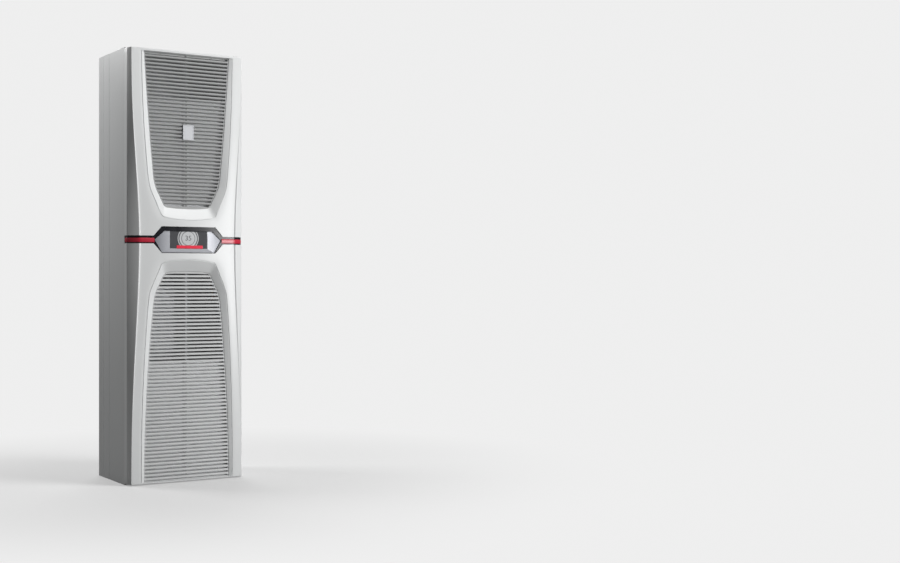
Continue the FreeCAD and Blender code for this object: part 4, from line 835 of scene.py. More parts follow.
# %% Loft collector
class Forms:
    """Collects closed forms in millimetres into one mesh."""

    def __init__(self):
        self.points = []
        self.faces = []

    def loft(self, rings, cyclic=False):
        """Skin over rings of equal length; the ends are capped, or meet if cyclic."""
        base, n = len(self.points), len(rings[0])
        for ring in rings:
            self.points += [tuple(p) for p in ring]
        for k in range(len(rings) if cyclic else len(rings) - 1):
            low, high = base + k * n, base + (k + 1) % len(rings) * n
            for i in range(n):
                j = (i + 1) % n
                self.faces.append((low + i, low + j, high + j, high + i))
        if not cyclic:
            last = base + (len(rings) - 1) * n
            self.faces.append(tuple(range(base, base + n)))
            self.faces.append(tuple(range(last, last + n)))
        return self

    def box(self, low, high):
        xs, zs = (low[0], high[0], high[0], low[0]), (low[2], low[2], high[2], high[2])
        return self.loft([[(x, y, z) for x, z in zip(xs, zs)] for y in (low[1], high[1])])

    def turned(self, centre, axis, profile, sides, cyclic=False):
        """A form turned about an axis through centre; profile holds (along, radius) pairs."""
        start, run = Vector(centre), Vector(axis)
        rings = [circle(start + run * far, axis, radius, sides) for far, radius in profile]
        return self.loft(rings, cyclic)

    def wire(self, path, radius, closed=False):
        """A round wire along a path."""
        points = [Vector(p) for p in path]
        count = len(points)
        rings, u = [], None
        for i, point in enumerate(points):
            after = points[(i + 1) % count] if closed or i + 1 < count else point
            before = points[i - 1] if closed or i > 0 else point
            run = (after - before).normalized()
            u = u or run.orthogonal()
            u = (u - run * u.dot(run)).normalized()
            rings.append(ring_round(point, u, run.cross(u), radius, WIRE_SIDES))
        return self.loft(rings, cyclic=closed)

    def put(self, name, **settings):
        """Makes one piece of the collected forms, with their faces outwards."""
        mesh = mesh_from(self.points, self.faces, name)
        with edited(mesh) as work:
            bmesh.ops.recalc_face_normals(work, faces=work.faces)
        return put(name, mesh, **settings)


def ring_round(centre, u, v, radius, sides):
    """Points on a circle in the plane of u and v."""
    angles = [2 * math.pi * i / sides for i in range(sides)]
    return [centre + u * radius * math.cos(a) + v * radius * math.sin(a) for a in angles]


def circle(centre, axis, radius, sides):
    """Points on a circle about an axis of length 1."""
    u = Vector(axis).orthogonal().normalized()
    return ring_round(Vector(centre), u, Vector(axis).cross(u), radius, sides)


def rounded(corners, radius, steps=4):
    """A closed outline with each corner rounded by the same trim."""
    outline = []
    spots = [Vector(p) for p in corners]
    for b, c, a in zip(spots[-1:] + spots[:-1], spots, spots[1:] + spots[:1]):
        trims = [min(radius, (p - c).length * TRIM_SHARE) for p in (b, a)]
        start, end = (c + (p - c).normalized() * trim for p, trim in zip((b, a), trims))
        outline += [tuple(curve(start, c, end, i / steps)) for i in range(steps + 1)]
    return outline


Y_AXIS, Z_AXIS = (0, 1, 0), (0, 0, 1)
WIRE_SIDES, TRIM_SHARE = 10, 0.49
print("faces of a box", len(Forms().box((0, 0, 0), (1, 1, 1)).faces))

# %% [markdown]
# ## Louvre grilles
# A grille is a frame, a row of slats and a thin rib behind them. Each slat has a rounded nose,
# because a moulded edge is never sharp and the nose draws the bright line along it. The slats of
# the upper grille lean their faces down and those of the lower one up, so the lower grille looks
# brighter; the upper grille also takes a darker copy of the louvre plastic, a painted shade. A
# slat's ends follow the frame's outline, so each corner of its profile has its own length. The
# frame stands 2 mm back, behind the noses.

# %% Build the grilles
SLAT_PITCH, SLAT_FACE, SLAT_LEAN, SLAT_DEPTH, SLAT_RISE, SLAT_TAIL = 13.75, 6.9, 1.5, 10.5, 3.0, 2.5
SLAT_CLEARANCE, SLAT_SETBACK, SLAT_NOSE = 1.5, 0.6, 1.1
GRILLE_GAP, GRILLE_FRAME, FRAME_SETBACK, SLAT_END_GAP = 0.4, 4.0, 2.0, 0.5
RIB_HALF, RIB_THICK = 3.0, 3.0
CLIP_R, CLIP_LENGTH, CLIP_TAPER, CLIP_X = 2.5, 6.0, 0.8, 100.0
OVERLAP = 1.0


def both_halves(line):
    return line + [(-x, rise) for x, rise in line[::-1] if abs(x) > CENTRE]


def slat_rises(recess):
    rim = GRILLE_GAP + GRILLE_FRAME
    low, high = CORNER[1] + rim, recess.end_rise - rim
    room = high - low - SLAT_FACE - SLAT_RISE - 2 * SLAT_CLEARANCE
    count = int(room / SLAT_PITCH) + 1
    start = low + SLAT_CLEARANCE + SLAT_RISE + (room - (count - 1) * SLAT_PITCH) / 2
    return [start + i * SLAT_PITCH for i in range(count)]


def slat_profile(rise):
    """Corners (y, rise) of one slat, with a rounded nose."""
    tip, tail = GRILLE_Y + SLAT_SETBACK, GRILLE_Y + SLAT_DEPTH
    nose = [(tip, rise + SLAT_FACE), (tip + SLAT_LEAN, rise)]
    back = [(tail, rise - SLAT_RISE), (tail, rise - SLAT_RISE + SLAT_TAIL)]
    return rounded(nose + back, SLAT_NOSE, steps=3)


def build_grille(name, recess, node, finish=None):
    forms = Forms()
    rim, front = GRILLE_GAP + GRILLE_FRAME, GRILLE_Y + FRAME_SETBACK
    outer = both_halves(inset_line(recess.grille, GRILLE_GAP))
    inner = both_halves(inset_line(recess.grille, rim))
    inner = [(x, max(r, CORNER[1] + rim)) for x, r in inner]
    loops = []
    for line, y in ((outer, front), (outer, LEDGE_Y), (inner, LEDGE_Y), (inner, front)):
        loops.append([(x, y, recess.z(r)) for x, r in line])
    forms.loft(loops, cyclic=True)
    inset = GRILLE_GAP + SLAT_END_GAP
    rises = slat_rises(recess)
    for rise in rises:
        profile = [(recess.half_width(r, inset), y, recess.z(r)) for y, r in slat_profile(rise)]
        forms.loft([[(side * x, y, z) for x, y, z in profile] for side in (-1, 1)])
    ends = (CORNER[1] + rim - OVERLAP, recess.end_rise - rim + OVERLAP)
    low, high = sorted(recess.z(r) for r in ends)
    forms.box((-RIB_HALF, LEDGE_Y - RIB_THICK, low), (RIB_HALF, LEDGE_Y, high))
    far, near = recess.end_rise - LEDGE / 2, CROWN + LEDGE / 2
    clip = [(0.0, CLIP_R), (CLIP_LENGTH, CLIP_R), (CLIP_LENGTH + OVERLAP, CLIP_R - CLIP_TAPER)]
    for x, rise in ((-CLIP_X, far), (CLIP_X, far), (0.0, near)):
        forms.turned((x, LEDGE_Y - OVERLAP, recess.z(rise)), Y_AXIS, clip, sides=20)
    forms.put(name, node=node, sharp_deg=40.0, finish=finish)
    print(name, "slats", len(rises))


# The upper grille takes the darker copy of the louvre plastic, a painted shade.
build_grille("upper_grille_louvres", UPPER, "upper_grille", SHADED_UPPER_LOUVRE)
build_grille("lower_grille_louvres", LOWER, "lower_grille")

# %% [markdown]
# ## Plate on the upper grille
# A small blank plate sits on the slats: a bevelled rim round a slightly sunken field. It could be
# pressed from a box by insets; five rounded rings, lofted from the back to the field, give the same
# form with its corners already round.

# %% Build the plate
BADGE_X, BADGE_Z, BADGE_SIZE, BADGE_CORNER = 4.0, BAND_Z + 400.0, (43.0, 57.0), 3.0
BADGE_FRONT_Y, BADGE_EDGE, BADGE_RIM, BADGE_SINK, BADGE_SLOPE = GRILLE_Y - 3.0, 0.7, 3.0, 0.8, 0.6
BADGE_RINGS = (
    # distance in from the edge, and depth behind the front
    (0.0, GRILLE_Y - BADGE_FRONT_Y),
    (0.0, BADGE_EDGE),
    (BADGE_EDGE, 0.0),
    (BADGE_RIM, 0.0),
    (BADGE_RIM + BADGE_SLOPE, BADGE_SINK),
)


def plate_ring(shrink, depth):
    w, h = (size / 2 - shrink for size in BADGE_SIZE)
    y = BADGE_FRONT_Y + depth
    corners = [(BADGE_X + sx * w, y, BADGE_Z + sz * h) for sx, sz in CORNER_SIGNS]
    return rounded(corners, BADGE_CORNER)


rings = [plate_ring(*ring) for ring in BADGE_RINGS]
plate = Forms().loft(rings).put("blank_plate", node="badge_plate")
print("plate", tuple(round(v, 4) for v in plate.dimensions))

# %% [markdown]
# ## Display band
# The waist carries a groove with a red strip, which opens to a hexagon round the display. The strip
# is a low crowned profile carried along the front, over the flank and along the side. The frame
# round the glass is faceted: its outer edge lies deeper than the edge at the glass, so each facet
# takes its own tone. Its silver is also painted darker towards the tips, a painted shade.

# %% Build the strips
STRIP_Z, STRIP_HALF, STRIP_INSET, STRIP_THICK, STRIP_START = BAND_Z - 2.0, 8.0, 1.0, 2.0, 131.5
STRIP_CROWN, STRIP_EDGE, STRIP_SHOULDER, STRIP_SLOPE = 0.7, 0.9, 0.5, 0.8
STRIP_STEPS, STRIP_TURN, FLANK_SHARES = 8, 4.0, (0.14, 0.5, 0.86)
CROWN_SHARES = (-0.6, -0.2, 0.2, 0.6)
FLANK_Y = RAIL_Y + FLANK_DEPTH


def strip_path(side):
    """Points of the strip's face seen from above, with the outward direction at each."""
    edge = front_edge(STRIP_Z)
    edge_y = front_y(edge, STRIP_Z)
    xs = split([STRIP_START, edge - STRIP_TURN], [STRIP_STEPS])
    path = [(x, front_y(x, STRIP_Z) + STRIP_INSET, 0.0, -1.0) for x in xs]
    turn = Vector((FLANK_Y - edge_y, edge - HALF)).normalized()
    for share in FLANK_SHARES:
        x, y = edge + (HALF - edge) * share, edge_y + (FLANK_Y - edge_y) * share
        path.append((x - turn.x * STRIP_INSET, y - turn.y * STRIP_INSET, turn.x, turn.y))
    path += [(HALF - STRIP_INSET, y, 1.0, 0.0) for y in (FLANK_Y + STRIP_TURN, COVER_BACK_Y)]
    return [(side * x, y, side * nx, ny) for x, y, nx, ny in path]


forms = Forms()
inner = STRIP_HALF - STRIP_SLOPE
section = [(-STRIP_HALF, STRIP_EDGE), (-inner, STRIP_SHOULDER)]
section += [(t * inner, STRIP_SHOULDER - STRIP_CROWN * (1 - t * t)) for t in CROWN_SHARES]
section += [(inner, STRIP_SHOULDER), (STRIP_HALF, STRIP_EDGE)]
section += [(STRIP_HALF, STRIP_THICK), (-STRIP_HALF, STRIP_THICK)]
for side in (-1, 1):
    rings = []
    for x, y, nx, ny in strip_path(side):
        rings.append([(x - nx * depth, y - ny * depth, STRIP_Z + rise) for rise, depth in section])
    forms.loft(rings)
strips = forms.put("red_strips", node="light_strips", sharp_deg=50.0)
print("strips", tuple(round(v, 4) for v in strips.dimensions))

# %% Build the display frame
GLASS_HALF, GLASS_LOW, GLASS_HIGH = 73.0, BAND_Z - 32.0, BAND_Z + 33.0
FRAME_SINK, FACET_DROP, FRAME_THICK = 4.5, 2.2, 4.5
WINDOW_TIP, WINDOW_TOP, WINDOW_LOW = HEX_TIP - 5.0, HEX_CORNER - 12.0, HEX_CORNER - 2.0
WINDOW_TOP_Z, WINDOW_LOW_Z = BAND_Z + HEX_HALF_HEIGHT - 16.0, BAND_Z - HEX_HALF_HEIGHT + 2.0
EDGE_GAP, TOP_LAP, FACET_BEVEL, BEVEL_DROP = 0.15, 1.2, 1.0, 0.9


def mirrored(right):
    """A hexagon from its upper right, tip and lower right corner."""
    top, tip, low = right
    left = [(-x, z) for x, z in (tip, top)]
    return [*left, top, tip, low, (-low[0], low[1])]


outer = mirrored([(WINDOW_TOP, WINDOW_TOP_Z), (WINDOW_TIP, BAND_Z), (WINDOW_LOW, WINDOW_LOW_Z)])
glass_top = (GLASS_HALF, GLASS_HIGH - TOP_LAP)
inner = mirrored([glass_top, (GLASS_HALF, BAND_Z), (GLASS_HALF, GLASS_LOW)])
bevel_x = GLASS_HALF + FACET_BEVEL
bevel_line = mirrored([glass_top, (bevel_x, BAND_Z), (bevel_x, GLASS_LOW - FACET_BEVEL)])


def frame_ring(line, drop, gap=0.0):
    ring = []
    for x, z in line:
        x -= math.copysign(gap, x)
        z -= math.copysign(gap, z - BAND_Z) if z != BAND_Z else 0.0
        ring.append((x, front_y(x, z) + FRAME_SINK + drop, z))
    return ring


rings = [
    frame_ring(outer, FRAME_THICK, EDGE_GAP),
    frame_ring(outer, FACET_DROP, EDGE_GAP),
    frame_ring(bevel_line, 0.0),
    frame_ring(inner, BEVEL_DROP),
    frame_ring(inner, FRAME_THICK),
]
forms = Forms().loft(rings, cyclic=True)
rim = forms.put("faceted_frame", node="display_frame", rounding=0.35, sharp_deg=12.0)
print("display frame faces", len(rim.data.polygons))

# %% [markdown]
# ## Display face
# The dark glass shows a pale round gauge with a ring, a plain number and a lit bar below. They are
# thin printed layers, so each is a shallow form just proud of the glass, cut off where the glass
# ends. The number comes from a text curve, turned into a mesh.

# %% Build the display face
GLASS_Y = RAIL_Y - WAIST_BULGE + 6.5
GAUGE_X, GAUGE_Z, GAUGE_SIDES, GAUGE_TOP, PRINT = -2.0, BAND_Z + 6.0, 72, GLASS_HIGH - 2.0, 0.25
BAR_LOW, BAR_HIGH, BAR_CORNER, BAR_THICK = GLASS_LOW + 0.6, GLASS_LOW + 12.0, 1.6, 1.2
BARS = ((-47.0, -12.0), (-11.0, 55.0))
NUMBER_SIZE, NUMBER_THICK = 26.0, 0.1


def gauge_disc(radius, proud):
    """A disc on the glass, cut off where the glass and the bar end."""
    line = []
    for i in range(GAUGE_SIDES):
        a = 2 * math.pi * i / GAUGE_SIDES
        z = GAUGE_Z + radius * math.sin(a)
        line.append((GAUGE_X + radius * math.cos(a), min(max(z, BAR_HIGH), GAUGE_TOP)))
    return [[(x, GLASS_Y - level * PRINT, z) for x, z in line] for level in (proud, proud - 1)]


def print_finish(name, dark, light, glow=0.0):
    finish = Finish(name)
    mottle = finish.noise(220.0, 2.0)
    tone = finish.blend(mottle, dark, light)
    lit = {"emission_color": tone, "emission_strength": glow}
    return finish.surface(base_color=tone, roughness=0.22, coat_weight=0.8, **lit)


PALE_PRINT = print_finish("gauge_pale", (0.54, 0.55, 0.56), (0.64, 0.65, 0.66))
GREY_PRINT = print_finish("gauge_grey", (0.11, 0.11, 0.12), (0.14, 0.14, 0.15))
RED_PRINT = print_finish("gauge_red", (0.70, 0.020, 0.050), (0.80, 0.030, 0.065), 0.12)
discs = (
    ("gauge_edge", 41.0, PALE_PRINT),
    ("gauge_gap", 38.0, GREY_PRINT),
    ("gauge_ring", 34.0, PALE_PRINT),
    ("gauge_line", 27.0, GREY_PRINT),
    ("gauge_face", 25.0, PALE_PRINT),
)
for level, (name, radius, finish) in enumerate(discs, 1):
    Forms().loft(gauge_disc(radius, level)).put(name, slot="display_glass", finish=finish)

number = bpy.data.curves.new("number", "FONT")
number.body = "35"
number.size = NUMBER_SIZE * MM
number.extrude = NUMBER_THICK * MM
number.align_x = number.align_y = "CENTER"
work = link("work", number)
digits = baked_mesh(work)
bpy.data.objects.remove(work)
top = GLASS_Y - len(discs) * PRINT
with edited(digits) as work:
    for v in work.verts:
        x, z, y = v.co
        v.co = (GAUGE_X * MM + x, top * MM - NUMBER_THICK * MM - y, GAUGE_Z * MM + z)
    bmesh.ops.recalc_face_normals(work, faces=work.faces)
put("gauge_number", digits, slot="display_glass", finish=GREY_PRINT)
bar = Forms()
for left, right in BARS:
    corners = [(left, BAR_LOW), (right, BAR_LOW), (right, BAR_HIGH), (left, BAR_HIGH)]
    outline = rounded(corners, BAR_CORNER)
    bar.loft([[(x, y, z) for x, z in outline] for y in (GLASS_Y, GLASS_Y - BAR_THICK)])
bar.put("lit_bar", slot="display_glass", rounding=0.4, finish=RED_PRINT)
print("display layers", len(discs) + 2)

# %% [markdown]
# ## Condenser fans
# A fan blade is a loft: one slim cambered section, repeated at several radii and wrapped round the
# axis. It lies flatter towards the tip, where the blade moves fastest. The root is sunk in the hub,
# so no union is needed.

# %% Build the condenser fans
FAN_R, HUB_R, HUB_BORE, BLADES = 89.0, 36.0, 4.05, 7
ROOT_CHORD, TIP_CHORD, ROOT_PITCH, TIP_PITCH = 42.0, 54.0, 38.0, 26.0
BLADE_THICK, BLADE_EDGE, CAMBER, TIP_SWEEP, SECTION_STEPS = 2.4, 0.3, 0.07, 7.0, 8
ROOT_SUNK, BLADE_STATIONS, TIP_SHRINK, TURNED_SIDES = 3.0, 6, 0.92, 64
HUB = (
    # along the axis, and radius
    (0.0, 29.0), (1.2, 33.5), (3.5, HUB_R), (28.8, HUB_R),
    (30.0, 34.8), (30.0, HUB_BORE), (2.0, HUB_BORE),
)


def blade_section(radius, angle, chord_share):
    """Ring of (x, y, z) offsets of a blade's section on a cylinder round the axis."""
    share = (radius - HUB_R) / (FAN_R - HUB_R)
    chord = (ROOT_CHORD + (TIP_CHORD - ROOT_CHORD) * share) * chord_share
    pitch = math.radians(ROOT_PITCH + (TIP_PITCH - ROOT_PITCH) * share)
    ring = []
    for side in (1, -1):
        for i in range(SECTION_STEPS + 1):
            t = side * (2 * i / SECTION_STEPS - 1)
            hump = 1 - t * t
            half = BLADE_THICK / 2 * (BLADE_EDGE + (1 - BLADE_EDGE) * hump)
            lift = CAMBER * chord * hump + side * half
            reach = t * chord / 2
            across = reach * math.cos(pitch) - lift * math.sin(pitch) + TIP_SWEEP * share * share
            turn = angle + across / radius
            axial = reach * math.sin(pitch) + lift * math.cos(pitch)
            ring.append((radius * math.cos(turn), axial, radius * math.sin(turn)))
    return ring


def build_fan(node):
    low, high = node_box(node)
    middle = Vector((low + high) / 2)
    forms = Forms()
    forms.turned((middle.x, low[1], middle.z), Y_AXIS, HUB, TURNED_SIDES)
    root, reach = HUB_R - ROOT_SUNK, FAN_R - HUB_R
    stations = [(root + reach * k / BLADE_STATIONS, 1.0) for k in range(BLADE_STATIONS + 1)]
    for i in range(BLADES):
        angle = 2 * math.pi * i / BLADES
        sections = [blade_section(r, angle, share) for r, share in stations + [(FAN_R, TIP_SHRINK)]]
        forms.loft([[middle + Vector(p) for p in ring] for ring in sections])
    fan = forms.put(node + "_blades", node=node, sharp_deg=40.0)
    print(fan.name, "faces", len(fan.data.polygons))


for level in ("lower", "upper"):
    build_fan("condenser_fan_" + level)

# %% [markdown]
# ## Blower wheels
# The wheels that move the cabinet's air are radial: a disc, a ring and backward-curved blades
# between them. A blade is a curve given a thickness and raised from the disc to the ring. Disc and
# hub are turned in one go.

# %% Build the blower wheels
WHEEL_R, WHEEL_BORE, WHEEL_EYE, WHEEL_SHEET, WHEEL_BLADES = 88.0, 5.05, 60.0, 3.0, 9
BLADE_IN, BLADE_OUT, BLADE_SHEET, BLADE_STEPS, BLADE_SUNK = 52.0, 85.0, 2.6, 8, 0.5
BLADE_TURN, BLADE_CURL, EYE_ROUND = 10.0, 14.0, 0.7
DISC_AND_HUB = (
    # along the axis, and radius
    (38.0, WHEEL_BORE), (0.0, WHEEL_BORE), (0.0, WHEEL_R - 0.8), (0.8, WHEEL_R),
    (2.2, WHEEL_R), (WHEEL_SHEET, WHEEL_R - 0.8), (WHEEL_SHEET, 27.0), (5.5, 22.5),
    (10.0, 20.0), (44.5, 20.0), (46.0, 18.5),
)


def thickened(line, thick):
    """Outline of an open curve in a plane, thick across."""
    points = np.array(line, float)
    across = normals(points) * (thick / 2)
    return [tuple(p) for p in points + across] + [tuple(p) for p in (points - across)[::-1]]


def build_wheel(node):
    low, high = node_box(node)
    x, z = (low[0] + high[0]) / 2, (low[2] + high[2]) / 2
    forms = Forms()
    start, depth = (x, low[1], z), high[1] - low[1]
    forms.turned(start, Y_AXIS, DISC_AND_HUB, TURNED_SIDES)
    face, back = depth - EYE_ROUND, depth - WHEEL_SHEET
    ring = [(back, WHEEL_EYE), (face, WHEEL_EYE), (depth, WHEEL_EYE + EYE_ROUND)]
    ring += [(depth, WHEEL_R - EYE_ROUND), (face, WHEEL_R), (back, WHEEL_R)]
    forms.turned(start, Y_AXIS, ring, TURNED_SIDES, cyclic=True)
    for k in range(WHEEL_BLADES):
        line = []
        for i in range(BLADE_STEPS + 1):
            t = i / BLADE_STEPS
            radius = BLADE_IN + (BLADE_OUT - BLADE_IN) * t
            bend = math.radians(BLADE_TURN * t + BLADE_CURL * t * t)
            turn = 2 * math.pi * k / WHEEL_BLADES - bend
            line.append((x + radius * math.cos(turn), z + radius * math.sin(turn)))
        outline = thickened(line, BLADE_SHEET)
        sunk = WHEEL_SHEET - BLADE_SUNK
        levels = (low[1] + sunk, high[1] - sunk)
        forms.loft([[(px, y, pz) for px, pz in outline] for y in levels])
    wheel = forms.put(node + "_curved", node=node, sharp_deg=40.0)
    print(wheel.name, "faces", len(wheel.data.polygons))


for side in ("left", "right"):
    build_wheel("blower_wheel_" + side)

# %% [markdown]
# ## Intake guards
# A guard is welded from round wire: rings, and spokes laid across them. A circle carried along each
# path gives the wire. Four small screws hold it to the rear sheet.

# %% Build the guards
GUARD_RINGS, GUARD_WIRE_R, SPOKE_R, SPOKES = (59.0, 50.0, 40.0, 30.0, 20.0, 10.0), 1.0, 0.9, 4
GUARD_SCREWS, GUARD_SCREW_AT, RING_SIDES = 4, 67.0, 72
SCREW_HEAD = ((-0.5, 4.0), (0.8, 4.0), (1.6, 3.1), (1.8, 1.2), (1.0, 0.9))
low, high = node_box("intake_guards")
guard_z, guard_y = (low[2] + high[2]) / 2, low[1] + GUARD_WIRE_R
spread = high[0] - (high[2] - low[2]) / 2
lift = Vector((0, GUARD_WIRE_R, 0))
wires, screws = Forms(), Forms()


def ray(i, half_turns, count):
    """Direction of spoke or screw i, seen from behind."""
    a = half_turns * math.pi * (i + 0.5) / count
    return Vector((math.cos(a), 0, math.sin(a)))


for x in (-spread, spread):
    centre = Vector((x, guard_y, guard_z))
    for radius in GUARD_RINGS:
        wires.wire(circle(centre, Y_AXIS, radius, RING_SIDES), GUARD_WIRE_R, closed=True)
    for i in range(SPOKES):
        across = ray(i, 1, SPOKES) * GUARD_RINGS[0]
        wires.wire([centre + lift - across, centre + lift + across], SPOKE_R)
    for i in range(GUARD_SCREWS):
        out = ray(i, 2, GUARD_SCREWS)
        spot = centre + out * GUARD_SCREW_AT
        screws.turned(spot - lift, Y_AXIS, SCREW_HEAD, sides=24)
        wires.wire([spot, centre + out * GUARD_RINGS[0]], SPOKE_R)
wires.put("guard_wires", node="intake_guards")
screws.put("guard_screws", slot="zinc_steel")
print("guard rings", len(GUARD_RINGS), "spokes", SPOKES)

# %% [markdown]
# ## Coil bends
# The tubes of a finned coil run across it and turn round outside its end plates. Each turn is a U
# of copper tube, so one path, repeated up both columns of tubes and on both ends, makes them all.

# %% Build the coil bends
BEND_R, BEND_TUBE_R, BEND_STAND, BEND_SUNK, END_PLATE = 10.0, 4.0, 3.0, 0.5, 2.0
BEND_STEPS, BEND_PITCH, TUBE_COLUMNS = 11, 4 * BEND_R, (0.25, 0.75)


def coil_bends(coil):
    low, high = node_box(coil + "_core")
    forms = Forms()
    sweep = np.linspace(0.0, math.pi, BEND_STEPS)
    turn = [(BEND_STAND + BEND_R * math.sin(a), BEND_R - BEND_R * math.cos(a)) for a in sweep]
    path = [(-BEND_SUNK, 0.0), *turn, (-BEND_SUNK, 2 * BEND_R)]
    count = int((high[2] - low[2]) / BEND_PITCH)
    margin = (high[2] - low[2] - (count - 0.5) * BEND_PITCH) / 2
    for side in (-1, 1):
        plate = side * (high[0] + END_PLATE)
        for share in TUBE_COLUMNS:
            y = low[1] + (high[1] - low[1]) * share
            for i in range(count):
                z = low[2] + margin + (i * BEND_PITCH + (BEND_R if side > 0 else 0.0))
                forms.wire([(plate + side * out, y, z + rise) for out, rise in path], BEND_TUBE_R)
    forms.put(coil + "_bends", slot="pipe_copper")
    return 2 * len(TUBE_COLUMNS) * count


print("bends", coil_bends("condenser"), coil_bends("evaporator"))

# %% [markdown]
# ## Fin packs
# A coil is a pack of thin coated fins on its tubes. From ahead only their rippled edges show, as a
# light grey ground between the slats. A rippled outline carried up the coil gives that; single fins
# would cost far more faces.

# %% Build the fin packs
RIPPLE_PITCH, RIPPLE_DEPTH = 3.0, 0.9


def fin_pack(coil):
    node = coil + "_core"
    low, high = node_box(node)
    count = 2 * round((high[0] - low[0]) / RIPPLE_PITCH)
    line = [(x, RIPPLE_DEPTH * (i % 2)) for i, x in enumerate(split([low[0], high[0]], [count]))]
    outline = [(x, low[1] + dent) for x, dent in line]
    outline += [(x, high[1] - dent) for x, dent in line[::-1]]
    forms = Forms().loft([[(x, y, z) for x, y in outline] for z in (low[2], high[2])])
    forms.put(coil + "_fins", node=node, sharp_deg=20.0)
    return count // 2


print("ripples", fin_pack("condenser"), fin_pack("evaporator"))

# %% [markdown]
# ## Contacts
# Sockets look empty without their contacts. They are slim bars that stand on the socket's floor, so
# a box each is enough, and a narrow bevel rounds them.

# %% Build the contacts
SOCKET_Z, SOCKET_FLOOR, CONTACT_LENGTH, CONTACT_SUNK = 490.0, 153.0, 15.0, 0.5
CONTACTS = (
    # middle x, columns, rows, spacing and half size across and up
    (-120.0, 3, 1, (12.0, 0.0), (1.0, 3.5)),
    (-40.0, 7, 2, (4.2, 5.0), (0.5, 0.5)),
    (30.0, 8, 1, (1.7, 0.0), (0.4, 3.5)),
)
contacts = Forms()
for middle, columns, rows, spacing, half in CONTACTS:
    for i in range(columns):
        for j in range(rows):
            x = middle + (i - (columns - 1) / 2) * spacing[0]
            z = SOCKET_Z + (j - (rows - 1) / 2) * spacing[1]
            root = (x - half[0], SOCKET_FLOOR - CONTACT_SUNK, z - half[1])
            tip = (x + half[0], SOCKET_FLOOR + CONTACT_LENGTH, z + half[1])
            contacts.box(root, tip)
contacts.put("socket_contacts", slot="valve_brass", rounding=0.15)
print("contacts", sum(columns * rows for _, columns, rows, _, _ in CONTACTS))

# %% [markdown]
# ## Nuts, washers and threads
# An insert without its thread is only a hole. A thread is a turned zigzag: at this size its pitch
# matters and its helix does not. Nuts and washers are turned too, a nut with six sides.

# %% Build the nuts and threads
# Turned profiles as (along the axis, radius) pairs, with their number of sides.
STUD_STACK = (
    ([(0.05, 8.5), (0.8, 8.5)], 40),
    ([(0.8, 7.5), (2.3, 7.5), (2.8, 6.6)], 6),
)
FOOT_STACK = (
    ([(0.0, 11.0), (1.6, 11.0)], 32),
    ([(1.6, 7.5), (6.6, 7.5), (7.6, 6.3)], 6),
    ([(7.6, 4.0), (11.0, 4.0), (12.0, 3.2)], 20),
)
FOOT_INSET, FOOT_PLATE = 12.0, 4.0
THREAD_SHAPE, THREAD_FIT = ((0.25, 0.0), (0.5, 0.5), (0.75, 0.0)), 0.05
# Length, core radius and pitch of an M8 and an M12 thread.
M8, M12 = (17.0, 3.4, 1.25), (22.0, 5.1, 1.75)
REAR_INSERT_X, REAR_INSERT_Z = (-190.0, 190.0), (60.0, BAND_Z, 1540.0)
TOP_INSERT_X, TOP_INSERT_Y = (-150.0, 150.0), (-60.0, 120.0)


def thread(forms, mouth, axis, length, core, pitch):
    """A threaded sleeve from the mouth of a hole inwards."""
    profile = [(0.0, core + THREAD_FIT)]
    for i in range(int(length / pitch)):
        for share, depth in THREAD_SHAPE:
            profile.append((-(i + share) * pitch, core - depth * pitch))
    forms.turned(mouth, axis, profile + [(-length, core + THREAD_FIT)], sides=28, cyclic=True)


low, high = node_box("earth_stud")
stud = ((low[0] + high[0]) / 2, node_box("rear_plate")[1][1], (low[2] + high[2]) / 2)
hardware, threads = Forms(), Forms()
for profile, sides in STUD_STACK:
    hardware.turned(stud, Y_AXIS, profile, sides)
low, high = node_box("compressor_grommets")
for x in (low[0] + FOOT_INSET, high[0] - FOOT_INSET):
    for y in (low[1] + FOOT_INSET, high[1] - FOOT_INSET):
        for profile, sides in FOOT_STACK:
            hardware.turned((x, y, high[2] + FOOT_PLATE), Z_AXIS, profile, sides)
hardware.put("nuts_and_washers", slot="zinc_steel", sharp_deg=25.0)

rear_y = node_box("mounting_inserts")[1][1]
rear_spots = [(x, rear_y, z) for x in REAR_INSERT_X for z in REAR_INSERT_Z]
top_spots = [(x, y, HEIGHT) for x in TOP_INSERT_X for y in TOP_INSERT_Y]
for spot in rear_spots:
    thread(threads, spot, Y_AXIS, *M8)
for spot in top_spots:
    thread(threads, spot, Z_AXIS, *M12)
threads.put("insert_threads", slot=SLOT_OF["mounting_inserts"], sharp_deg=60.0)
print("threads", len(rear_spots) + len(top_spots))

# %% [markdown]
# ## Compressor details
# The shell of a compressor is welded in two halves, so a bead runs round the joint: one wire,
# closed on itself. A box over the terminals stands on its side, with rounded edges.

# %% Build the compressor details
BEAD_R, BEAD_SIDES = 1.7, 96
# The cover's box, counted from the can's side, its middle and the bead.
TERMINAL_FROM, TERMINAL_TO = (-6.0, -24.0, -72.0), (18.0, 24.0, -8.0)
low, high = node_box("compressor_cap")
middle = Vector((low + high) / 2)
can_r = (high[0] - low[0]) / 2
seam = circle((middle.x, middle.y, low[2]), Z_AXIS, can_r, BEAD_SIDES)
Forms().wire(seam, BEAD_R, closed=True).put("weld_bead", slot="motor_black")
side = np.array((middle.x + can_r, middle.y, low[2]))
cover = Forms().box(side + TERMINAL_FROM, side + TERMINAL_TO)
cover.put("terminal_cover", slot="dark_plastic", rounding=3.0)
print("bead radius", round(can_r, 1))

# %% [markdown]
# ## Softened sheet and mouldings
# Folded sheet and moulded boxes have small rounds on every edge, and those rounds draw the light
# line that tells an edge from a drawing. A copy of the CAD mesh with a narrow bevel gives them. On
# the large shells only the outer edges are rounded, so the many small holes stay as they are.

# %% Soften the plain nodes
SHELL_ROUND, SAME_SPOT, EDGE_TURN = 1.2, 1e-6, 1.0
WELD_MM, FLAT_DEG = 0.002, 0.6


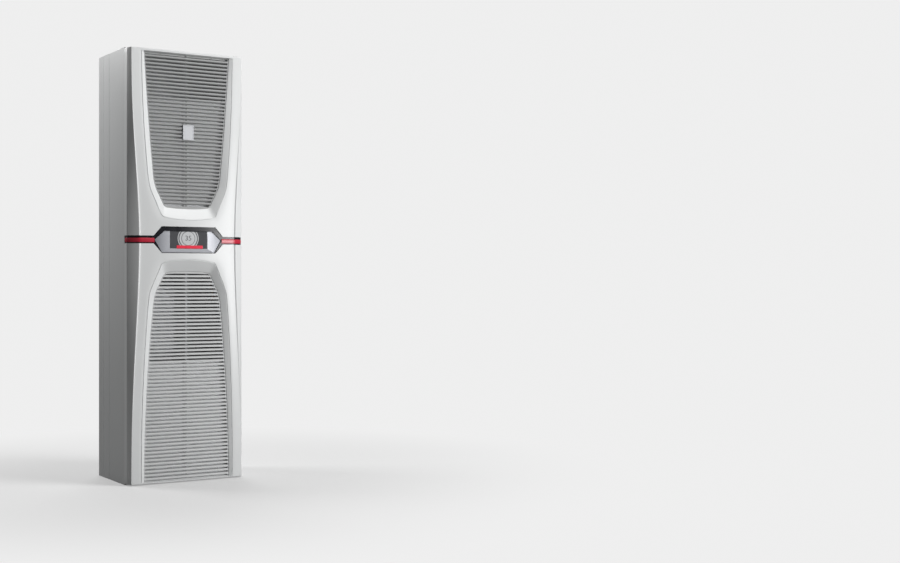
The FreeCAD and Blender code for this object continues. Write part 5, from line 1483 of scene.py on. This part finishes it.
def box_edges(mesh):
    """Rounds the edges that run from corner to corner of the mesh's box."""
    with edited(mesh) as work:
        weights = work.edges.layers.float.new("bevel_weight_edge")
        spots = np.array([v.co for v in work.verts])
        sides = spots.min(axis=0), spots.max(axis=0)
        for edge in work.edges:
            a, b = (np.array(v.co) for v in edge.verts)
            along_axis = (np.abs(a - b) < SAME_SPOT).sum() == 2
            gaps = np.abs([[p - side for side in sides] for p in (a, b)]).min(axis=1)
            sharp = edge.is_manifold and edge.calc_face_angle(0.0) > EDGE_TURN
            edge[weights] = float(along_axis and np.all(gaps < SAME_SPOT) and sharp)
        print("rounded edges", sum(edge[weights] > 0 for edge in work.edges))
    return rounded_mesh(mesh, SHELL_ROUND, segments=3)


def merged_copy(node):
    """A copy of a CAD node's mesh with its flat triangles joined."""
    mesh = frame["nodes"][node].data.copy()
    with edited(mesh) as work:
        bmesh.ops.remove_doubles(work, verts=work.verts, dist=WELD_MM * MM)
        flat = math.radians(FLAT_DEG)
        bmesh.ops.dissolve_limit(work, angle_limit=flat, verts=work.verts, edges=work.edges)
    return mesh


for node in ("front_shell", "rear_shell"):
    put(node + "_soft", box_edges(merged_copy(node)), node=node, flat_faces=True)

SOFT_EDGES = {
    "rear_gasket": 1.2, "display_glass": 0.6, "outlet_grille": 0.9, "mounting_inserts": 0.5,
    "lifting_inserts": 0.6, "inverter_lid": 0.6, "inverter_case": 0.6, "control_lid": 0.6,
    "control_case": 0.6, "condensate_tray": 0.7, "condenser_motors": 1.5, "blower_motors": 2.0,
    "compressor_grommets": 2.0, "filter_drier": 5.0, "expansion_valve": 1.5, "inlet_rings": 0.6,
    "fan_brackets": 0.6, "mains_socket": 0.5, "signal_sockets": 0.5, "display_housing": 0.5,
    "compressor_shell": 1.0, "drier_clip": 0.6, "rear_plate": 0.3,
}
for node, rounding in SOFT_EDGES.items():
    put(node + "_soft", merged_copy(node), node=node, rounding=rounding)
print("softened nodes", len(SOFT_EDGES) + 2)

# %% [markdown]
# ## The other nodes
# The CAD nodes that stay have the right shape already, so a new mesh would add nothing. Each takes
# the finish of its material slot.

# %% Give the remaining nodes their finish
for name, node in frame["nodes"].items():
    node.data.materials.clear()
    node.data.materials.append(FINISHES[SLOT_OF[name]])
print("nodes with a finish", len(frame["nodes"]))

# %% [markdown]
